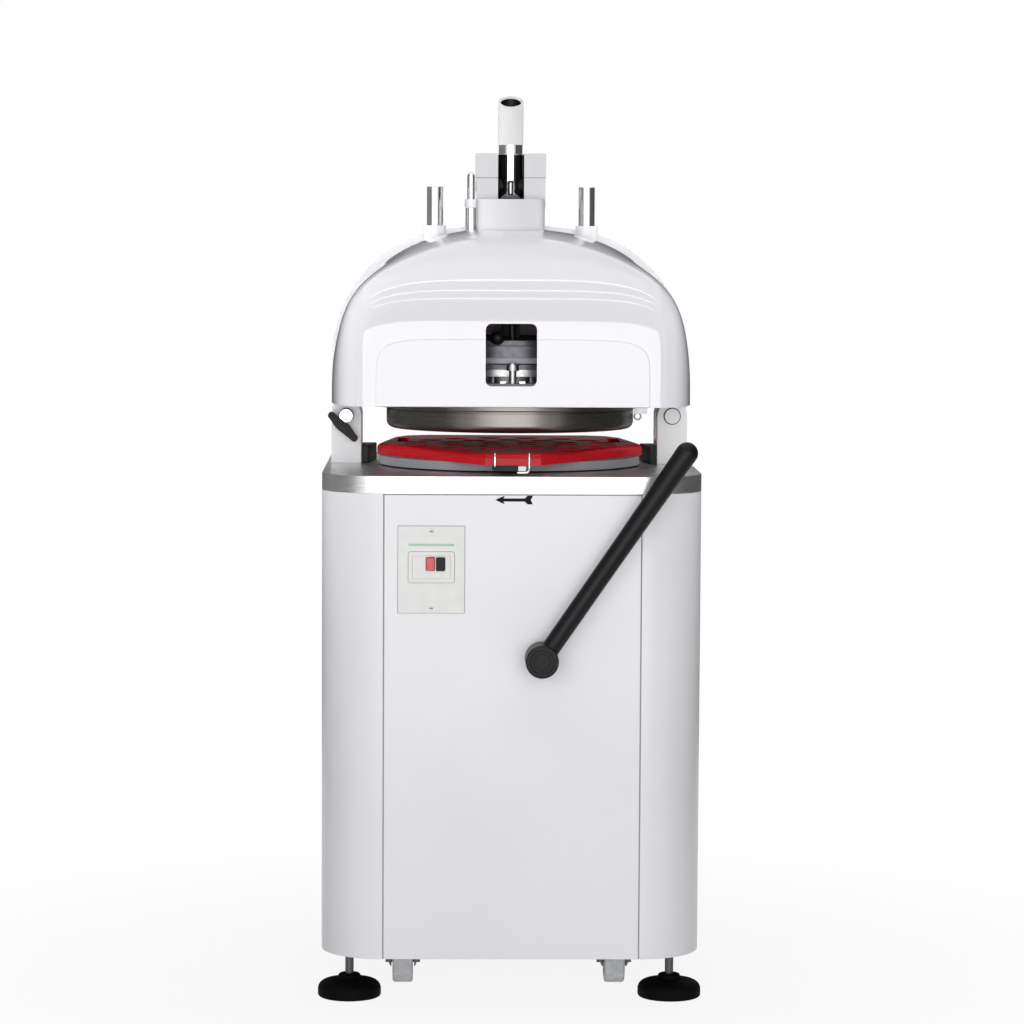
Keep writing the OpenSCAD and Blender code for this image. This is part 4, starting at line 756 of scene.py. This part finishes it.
class ROUNDER_OT_plate(bpy.types.Operator):
    """Finishes the rounding table, the red mould plate with its bent wires, and the latch"""

    bl_idname = "rounder.plate"
    bl_label = "Table and mould plate"

    def execute(self, context):
        s = sizes()
        softened("rounding_table", "turning", s.machined_edge / MM, "matt_anodised_aluminium", "table")
        plate = copied("mould_plate", "mould_plate_casting")
        level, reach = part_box("mould_plate")[1].z, 185 * MM
        with editing(plate, "EDGE"):
            pick(plate, "edges", lambda e: all(abs(v.co.z - level) < 10 * NEAR for v in e.verts) and any(
                abs(f.normal.z) < 0.1 and f.normal.dot(f.calc_center_median()) > reach for f in e.link_faces))
            bpy.ops.mesh.bevel(offset=s.plate_round, segments=8)
        soften(plate, 1.2, 3)
        done(plate, "cast_red_polyurethane", "mould_plate", "mould_plate")
        softened("plate_latch", "moulding", s.moulded_edge / MM, "moulded_black_nylon", "plate_latch", 3)
        low, high = box("mould_plate")
        out, over, under = low.y - 1.6, high.z + 1.2, low.z - 1.4
        bend = [(0, out + 24, over), (0, out + 11, over), (0, out + 3, over - 0.5), (0, out, over - 5),
                (0, out, over - 12), (0, out, under + 4), (0, out, under)]
        tails = {
            "left": (-29.3, [(0, out + 3, under), (0, out + 12, under)]),
            "right": (26.0, [(0, out + 0.4, under - 5), (-2, out + 1, under - 9.6),
                             (-8, out + 1.4, under - 10.2), (-19, out + 2, under - 10.2)]),
        }
        for side, (x, tail) in tails.items():
            clip = wire(f"nose_wire_{side}", [(x + dx, y, z) for dx, y, z in bend + tail], s.wire_radius / MM)
            done(clip, "hard_chrome", "mould_plate")
        block("latch_pawl", (8, -289, 874.2), (21, -276, 882.4), 1.2, "moulded_pale_abs", "plate_latch", 3)
        return {"FINISHED"}


class ROUNDER_OT_rounding_lever(bpy.types.Operator):
    """Moulds the rounding lever: a round hub with a sunk cap and an arm that swells to its tip"""

    bl_idname = "rounder.rounding_lever"
    bl_label = "Rounding lever"

    def execute(self, context):
        hub_x, hub_z, back, arm_y = 46.5, 574.5, -308, -348
        thin, tip, long, lean = 15, 18, 404, math.radians(34.5)
        hub = turned("rounding_lever_moulding",
                     [(0, 0), (26.5, 0), (26.5, 59.5)] + curve_points((24, 59.5), 2.5, 0, 90, 5)
                     + [(19.4, 62), (18.5, 61.2), (18.5, 60), (13, 60), (12.4, 60.8), (0, 60.8)],
                     (hub_x, back, hub_z), FORWARD, 96)
        swell = [(0, 0)] + [(thin + (tip - thin) * (h / long) ** 3, h) for h in range(0, long, 16)]
        swell += curve_points((0, long), tip, 4, 90, 12)
        arm = turned("arm_part", swell, (hub_x, arm_y, hub_z), (math.sin(lean), 0, math.cos(lean)))
        combine(hub, "UNION", arm)
        soften(hub, 1.2, 3, 50)
        done(hub, "moulded_black_nylon", "rounding_lever", "rounding_lever", angle=40)
        dress("machined_steel", "cam_shaft", "lever_bearings")
        return {"FINISHED"}


class ROUNDER_OT_press_lever(bpy.types.Operator):
    """Finishes the press lever's tube, pinion and obliquely cut grip"""

    bl_idname = "rounder.press_lever"
    bl_label = "Press lever"

    def execute(self, context):
        joint = box("lever_grip")[0].z
        tube = copied("press_lever", "press_lever_tube")
        front, low, high, half = PIVOT_Y - 20, joint - 84, joint - 64, 5.5
        combine(tube, "DIFFERENCE", slab("notch_cutter", (-half, front - 5, low), (half, front + 6, high)),
                bar("notch_end_cutter", (0, front - 5, high), (0, front + 6, high), half, 32))
        pin = turned("lever_notch_pin", [(0, 0), (2.2, 0), (2.8, 0.6), (2.8, 18.4), (2.2, 19), (0, 19)],
                     (0, front + 4, low + 2), steps=32)
        done(pin, "hard_chrome", "press_lever")
        # A black slab at the back of the notch: painted shade inside it
        half -= 0.2
        block("lever_notch_floor", (-half, front + 5, low), (half, front + 6.2, high + 4), 0.3,
              "moulded_black_nylon", "press_lever")
        shell = ring_profile(inner=12, outer=15.5, low=13, high=21.2, lip=0.3)
        for side, way in SIDES:
            shroud = turned(f"boss_shroud_{side}", shell, (0, PIVOT_Y, PIVOT_Z), (way, 0, 0))
            done(shroud, "moulded_black_nylon", "press_lever", angle=LATHE_ANGLE)
        soften(tube, 0.6, 2, 40)
        done(tube, "hard_chrome", "press_lever", "press_lever")
        softened("lever_grip", "moulding", 1.0, "moulded_pale_abs", "press_lever", 3)
        self.lining()
        dress("machined_steel", "pinion_shaft")
        return {"FINISHED"}

    def lining(self):
        """A black cup in the grip's open end, cut at the grip's slant: painted shade of the hollow end."""
        floor, wall, outer, over, end_z, slant = 1464.3, 0.8, 17.2, 1500, 1475.5, math.radians(26)
        lining = turned("grip_lining", [(0, floor), (outer, floor), (outer, over), (outer - wall, over),
                                        (outer - wall, floor + wall), (0, floor + wall)], (0, PIVOT_Y, 0))
        with editing(lining):
            bpy.ops.mesh.bisect(plane_co=(0, PIVOT_Y * MM, end_z * MM), clear_outer=True, use_fill=False,
                                plane_no=(0, -math.sin(slant), math.cos(slant)))
            bpy.ops.mesh.select_mode(type="EDGE")
            pick(lining, "edges", lambda e: e.is_boundary)
            bpy.ops.mesh.bridge_edge_loops()
        done(lining, "moulded_black_nylon", "press_lever")


class ROUNDER_OT_clamp(bpy.types.Operator):
    """Moulds the clamp's wing knob and turns its chromed nut"""

    bl_idname = "rounder.clamp"
    bl_label = "Clamp knob"

    def execute(self, context):
        softened("clamp_knob", "moulding", 1.6, "moulded_black_nylon", "clamp_knob", 3)
        profile = [(0, 0), (11.5, 0), (11.5, 25.5), (10.7, 26.4), (7.8, 26.4), (7.2, 27.2), (3, 27.6),
                   (0, 27.7)]
        nut = turned("clamp_nut", profile, (-276.5, 24, 948), FORWARD)
        done(nut, "hard_chrome", "clamp_knob", angle=LATHE_ANGLE)
        return {"FINISHED"}


class ROUNDER_OT_controls(bpy.types.Operator):
    """Finishes the control plate with its screws, the switch and its two buttons"""

    bl_idname = "rounder.controls"
    bl_label = "Controls"

    def execute(self, context):
        face = -303
        softened("control_plate", "moulding", 0.8, "moulded_pale_abs", "base", 3)
        self.gasket("control_gasket", "control_plate", 0.8, 1.2, face + 2, face + 2.95)
        self.switch()
        self.gasket("switch_gasket", "switch_housing", 0.6, 4.5, face - 0.5, face - 0.05)
        stripe = rounded_slab("control_stripe", (-168, face - 0.25, 754.2), (-94, face - 0.02, 757.8), 0.6)
        done(stripe, "printed_green_ink", "base")
        softened("start_button", "moulding", 1.2, "moulded_black_nylon", "start_button", 3)
        softened("stop_button", "moulding", 1.2, "moulded_red_abs", "stop_button", 3)
        x, mid_z, apart = -131, 716, 62
        dome = [(0, 0), (3.4, 0), (3.4, 0.8), (2.9, 1.6), (1.8, 2.0), (0, 2.1)]
        for name, z in (("low", mid_z - apart), ("high", mid_z + apart)):
            screw = turned(f"control_screw_{name}", dome, (x, face - 0.05, z), FORWARD, 32)
            at, reach = Vector((x, face - 2.0, z)), Vector((2.6, 0.8, 0.65))
            combine(screw, "DIFFERENCE", slab("slot_cutter", at - reach, at + reach))
            done(screw, "moulded_pale_abs", "base")
            # A black slab at the bottom of each screw's slot: painted shade in the slot
            reach.y, at.y = 0.2, face - 1.3
            block(f"control_screw_slot_{name}", at - reach, at + reach, 0.05, "moulded_black_nylon", "base")
        return {"FINISHED"}

    def switch(self):
        """The switch's housing, with its four outer corners rounded."""
        low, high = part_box("switch_housing")
        corner, slack, short = 4 * MM, 0.2 * MM, 1 * MM
        housing = copied("switch_housing", "switch_housing_moulding")

        def off_corner(vertex):
            return sum(min(abs(vertex.co[i] - low[i]), abs(vertex.co[i] - high[i])) for i in (0, 2))

        with editing(housing, "EDGE"):
            pick(housing, "edges", lambda e: abs(e.verts[0].co.y - e.verts[1].co.y) > short
                 and all(off_corner(v) < slack for v in e.verts))
            bpy.ops.mesh.bevel(offset=corner, segments=5)
        soften(housing, 0.7, 3)
        done(housing, "moulded_pale_abs", "base", "switch_housing")

    def gasket(self, name, node, proud, corner, front, back):
        """A thin grey frame round a plate: painted shade of the gap round it."""
        low, high = box(node)
        inside = 6
        piece = rounded_slab(name, (low.x - proud, front, low.z - proud),
                             (high.x + proud, back, high.z + proud), corner)
        combine(piece, "DIFFERENCE", slab("gasket_cutter", (low.x + inside, front - 10, low.z + inside),
                                          (high.x - inside, back + 10, high.z - inside)))
        done(piece, "moulded_grey_rubber", "base")


class ROUNDER_OT_mark(bpy.types.Operator):
    """Prints the arrow over the rounding lever"""

    bl_idname = "rounder.mark"
    bl_label = "Arrow mark"

    def execute(self, context):
        s = sizes()
        long, half = s.mark_length, s.mark_height / 2
        left, mid_z, face = -29 * MM, 828.6 * MM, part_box("front_panel")[0].y
        outline = [(0, 0), (0.26, 1), (0.22, 0.36), (0.78, 0.36), (0.86, 1), (1, 1), (0.94, 0),
                   (1, -1), (0.86, -1), (0.78, -0.36), (0.22, -0.36), (0.26, -1)]
        gap, film = 0.05 * MM, 0.35 * MM
        points = [(left + x * long, face - gap, mid_z + z * half) for x, z in outline]
        arrow = new_piece("turn_arrow", points, (), [tuple(range(len(points)))])
        with editing(arrow):
            bpy.ops.mesh.extrude_region_move(TRANSFORM_OT_translate={"value": (0, -film, 0)})
            outward()
        soften(arrow, 0.1, 1)
        done(arrow, "printed_black_ink", "base")
        return {"FINISHED"}


class ROUNDER_OT_feet(bpy.types.Operator):
    """Moulds the two levelling feet and threads their studs"""

    bl_idname = "rounder.feet"
    bl_label = "Levelling feet"

    def execute(self, context):
        pad = [(0, 0)] + curve_points((47.5, 4.5), 4.5, -90, 0, 5)
        pad += [(52, 13), (51.7, 15.5), (50.6, 18.6), (48.6, 21.6), (45.6, 24.2), (41.5, 26.2), (36, 27.6),
                (29, 28.8), (22.5, 29.6), (20.2, 30.4), (19, 31.8), (18.4, 34), (17.6, 36.2), (16, 37.5),
                (14, 38), (0, 38)]
        top = box("levelling_foot_left")[1].z
        root, crest, pitch, start = 6.2, 7.0, 2.0, 74
        stud = [(0, 30), (crest, 30), (crest, start - 0.5)]
        for turn in range(int((top - start - 2) / pitch)):
            z = start + turn * pitch
            stud += [(root, z), (root, z + 0.5), (crest, z + 1.0), (crest, z + 1.5)]
        stud += [(root, top - 1), (root - 0.8, top), (0, top)]
        for side, way in SIDES:
            x, y, body = way * 264, -200, f"foot_{side}"
            foot = turned(f"levelling_pad_{side}", pad, (x, y, 0), steps=96)
            done(foot, "moulded_black_rubber", body, f"levelling_foot_{side}")
            thread = turned(f"levelling_stud_{side}", stud, (x, y, 0), steps=48)
            done(thread, "black_zinc_plate", body, angle=LATHE_ANGLE)
            nut = bar(f"levelling_nut_{side}", (x, y, 84), (x, y, 99.4), 12, 6)
            soften(nut, 1.2, 2)
            done(nut, "hard_chrome", body)
        return {"FINISHED"}


class ROUNDER_OT_casters(bpy.types.Operator):
    """Moulds the four wheels and rounds their forks"""

    bl_idname = "rounder.casters"
    bl_label = "Casters"

    def execute(self, context):
        for side in ("left", "right"):
            softened(f"swivel_fork_{side}", "pressing", 1.2, "black_zinc_plate", f"swivel_{side}")
            low, high = box(f"front_wheel_{side}")
            crown, over = box(f"swivel_fork_{side}")[0].y, (low.z + high.z) / 2 + 20
            guard = rounded_slab(f"fork_guard_{side}", (low.x, crown - 0.9, over),
                                 (high.x, crown + 0.6, 80), 1.5)
            soften(guard, 0.3, 1)
            done(guard, "moulded_grey_polyamide", f"swivel_{side}")
        softened("rear_forks", "pressing", 1.2, "black_zinc_plate", "base")
        low, high = box("front_wheel_left")
        r, half = (high.z - low.z) / 2, (high.x - low.x) / 2
        bore, hub, web, sink, edge = 5.2, 14, 16, 2.5, 5
        profile = [(bore, -half + 1), (hub, -half), (web, -half + sink), (r - 11, -half + sink),
                   (r - 9, -half)]
        profile += curve_points((r - edge, -half + edge), edge, -90, -15, 5)
        profile += curve_points((r - edge, half - edge), edge, 15, 90, 5)
        profile += [(r - 9, half), (r - 11, half - sink), (web, half - sink), (hub, half), (bore, half - 1),
                    (bore, -half + 1)]
        for name in ("front_wheel_left", "front_wheel_right", "rear_wheel_left", "rear_wheel_right"):
            low, high = box(name)
            wheel = turned(name + "_moulding", profile, (low + high) / 2, (1, 0, 0), 96)
            done(wheel, "moulded_grey_polyamide", name, name, angle=28)
        return {"FINISHED"}


class ROUNDER_OT_inside(bpy.types.Operator):
    """Finishes the frame, the drive and the cable gland as their solids are"""

    bl_idname = "rounder.inside"
    bl_label = "Frame and drive"

    def execute(self, context):
        dress("black_zinc_plate", "base_plate", "side_plates", "bed_plate")
        dress("painted_grey_casting", "carriage", "main_bearings")
        dress("motor_enamel", "motor")
        dress("machined_steel", "guide_posts", "motor_rotor", "eccentric_shaft", "main_pulley",
              "idler_crank_left", "idler_crank_right")
        dress("moulded_black_rubber", "drive_belt")
        softened("cable_gland", "moulding", 0.6, "moulded_black_nylon", "base")
        return {"FINISHED"}


class ROUNDER_OT_stage(bpy.types.Operator):
    """Sets the pale floor, the soft lamps, the white surround and the camera"""

    bl_idname = "rounder.stage"
    bl_label = "Stage"

    def execute(self, context):
        scene = bpy.context.scene
        scene.view_settings.view_transform = "Standard"
        self.floor()
        self.screens()
        self.lamps()
        self.surround(scene)
        self.camera(scene)
        return {"FINISHED"}

    def floor(self):
        """A wide white disc that keeps the shadow and fades to the surround."""
        floor = settle(primitive(bpy.ops.mesh.primitive_circle_add, "studio_floor", vertices=96, radius=14,
                                 fill_type="NGON", location=(0, 0, -0.0005)))
        material, tree, shader, place = finish("studio_floor_paint", linear("D4D4D4"), {"Roughness": 0.7})
        away = add(tree, "VectorMath", {"operation": "LENGTH"}, {0: place})
        share = add(tree, "MapRange", {"From Min": 0.4, "From Max": 1.6, "To Min": 0.9, "To Max": 1.0,
                                       "interpolation_type": "SMOOTHSTEP"}, {"Value": away.outputs["Value"]})
        blend = add(tree, "Math", {"operation": "MULTIPLY"},
                    {0: self.background_rays(tree), 1: share.outputs["Result"]})
        glow = add(tree, "Emission", {"Color": (1, 1, 1, 1), "Strength": 1.0})
        mixed = add(tree, "MixShader", None, {0: blend.outputs["Value"], 1: shader.outputs["BSDF"],
                                              2: glow.outputs["Emission"]})
        tree.links.new(mixed.outputs["Shader"], tree.nodes["Material Output"].inputs["Surface"])
        floor.data.materials.append(material)

    def background_rays(self, tree):
        """One for the rays that see the background: the camera's, mirrors' and glass's."""
        rays = add(tree, "LightPath").outputs
        seen = rays["Is Camera Ray"]
        for kind in ("Is Glossy Ray", "Is Transmission Ray"):
            seen = add(tree, "Math", {"operation": "MAXIMUM"}, {0: seen, 1: rays[kind]}).outputs["Value"]
        return seen

    def screens(self):
        """Dark cloth beside and behind the machine that only mirrors see, so that metal shows its form."""
        low, high = 0.02, 3.0
        for name, start, end, shade in (
            ("left_screen", (-1.9, -1.5), (-1.9, 2.4), 0.38),
            ("right_screen", (1.8, -1.7), (1.8, 2.4), 0.14),
            ("back_screen", (-1.9, 2.4), (1.8, 2.4), 0.12),
        ):
            corners = [(*start, low), (*end, low), (*end, high), (*start, high)]
            screen = new_piece(name, corners, (), [(0, 1, 2, 3)])
            cloth = finish(name + "_cloth", (shade, shade, shade), {"Roughness": 1.0})[0]
            screen.data.materials.append(cloth)
            screen.visible_camera = screen.visible_diffuse = screen.visible_shadow = False
            screen.visible_transmission = False

    def lamps(self):
        """A large soft panel over the camera, weak panels round the machine and three ceiling tubes."""
        middle, head, narrow = Vector((0, 0, 0.95)), Vector((0, 0, 1.16)), math.radians(32)
        panels = [
            ("front_panel_lamp", (-0.3, -4.9, 1.5), 5.0, 2.0, 106),
            ("low_front_lamp", (0.2, -4.6, 0.3), 3.0, 0.5, 22),
            ("left_panel_lamp", (-2.5, 0.1, 1.9), 0.8, 0.8, 2.4),
            ("right_panel_lamp", (2.5, 0.1, 1.9), 0.8, 0.8, 1.6),
            ("top_panel_lamp", (0.0, -0.2, 3.8), 2.6, 1.6, 7),
            ("back_panel_lamp", (0.4, 3.6, 2.4), 3.0, 1.8, 60),
        ]
        panels += [(f"ceiling_tube_{i}", (0.0, -0.9 - 0.75 * i, 3.4), 3.0, 0.07, 3.6) for i in range(3)]
        for name, at, wide, high, power in panels:
            lamp = bpy.data.lights.new(name, "AREA")
            lamp.shape, lamp.size, lamp.size_y, lamp.energy = "RECTANGLE", wide, high, power
            obj = linked(name, lamp)
            obj.location, obj.visible_camera = at, False
            aim = middle
            if name in ("left_panel_lamp", "right_panel_lamp"):
                lamp.spread, obj.visible_glossy, aim = narrow, False, head
            obj.rotation_euler = (aim - Vector(at)).to_track_quat("-Z", "Y").to_euler()

    def surround(self, scene):
        """A white surround as the camera and mirrors see it, and a softer light on the object."""
        world = bpy.data.worlds.new("studio_surround")
        scene.world = world
        world.use_nodes = True
        tree = world.node_tree
        soft = tree.nodes["Background"]
        soft.inputs["Color"].default_value = (1, 1, 1, 1)
        soft.inputs["Strength"].default_value = 0.22
        white = add(tree, "Background", {"Color": (1, 1, 1, 1), "Strength": 1.0})
        mixed = add(tree, "MixShader", None, {0: self.background_rays(tree), 1: soft.outputs["Background"],
                                              2: white.outputs["Background"]})
        tree.links.new(mixed.outputs["Shader"], tree.nodes["World Output"].inputs["Surface"])

    def camera(self, scene):
        """A long lens slightly above and in front of the machine, level with the head."""
        pitch, yaw, roll, place = 0.0773, 0.0208, 0.0052, (-0.1179, -5.886, 1.242)
        focal_pixels, image_pixels, sensor = 3488, 1024, 36
        ahead = Vector((math.sin(yaw) * math.cos(pitch), math.cos(yaw) * math.cos(pitch), -math.sin(pitch)))
        right = ahead.cross(Vector((0, 0, 1))).normalized()
        up = right.cross(ahead)
        across = math.cos(roll) * right + math.sin(roll) * up
        upward = across.cross(ahead)
        camera = bpy.data.cameras.new("photo_camera")
        camera.sensor_width = sensor
        camera.lens = focal_pixels / image_pixels * sensor
        camera.clip_end = 60
        obj = linked("photo_camera", camera)
        obj.matrix_world = Matrix.Translation(place) @ Matrix((across, upward, -ahead)).transposed().to_4x4()
        scene.camera = obj


class ROUNDER_PT_panel(bpy.types.Panel):
    """Lists the machine's pieces, sizes and colours"""

    bl_idname = "ROUNDER_PT_panel"
    bl_label = "Divider rounder"
    bl_space_type = "VIEW_3D"
    bl_region_type = "UI"
    bl_category = "Divider rounder"

    def draw(self, context):
        for operator in OPERATORS:
            self.layout.operator(operator.bl_idname)
        for group in (context.scene.rounder_sizes, context.scene.rounder_colours):
            for key in group.__annotations__:
                self.layout.prop(group, key)


OPERATORS = (
    ROUNDER_OT_stage,
    ROUNDER_OT_cabinet,
    ROUNDER_OT_worktop,
    ROUNDER_OT_uprights,
    ROUNDER_OT_covers,
    ROUNDER_OT_head,
    ROUNDER_OT_ring,
    ROUNDER_OT_press,
    ROUNDER_OT_plate,
    ROUNDER_OT_rounding_lever,
    ROUNDER_OT_press_lever,
    ROUNDER_OT_clamp,
    ROUNDER_OT_controls,
    ROUNDER_OT_mark,
    ROUNDER_OT_feet,
    ROUNDER_OT_casters,
    ROUNDER_OT_inside,
)
CLASSES = (RounderSizes, RounderColours, *OPERATORS, ROUNDER_PT_panel)


def register():
    for cls in CLASSES:
        bpy.utils.register_class(cls)
    bpy.types.Scene.rounder_sizes = bpy.props.PointerProperty(type=RounderSizes)
    bpy.types.Scene.rounder_colours = bpy.props.PointerProperty(type=RounderColours)


def unregister():
    del bpy.types.Scene.rounder_colours
    del bpy.types.Scene.rounder_sizes
    for cls in reversed(CLASSES):
        bpy.utils.unregister_class(cls)


def main():
    """Makes every piece in order."""
    register()
    for operator in OPERATORS:
        group, name = operator.bl_idname.split(".")
        getattr(getattr(bpy.ops, group), name)()


if __name__ == "__main__":
    main()
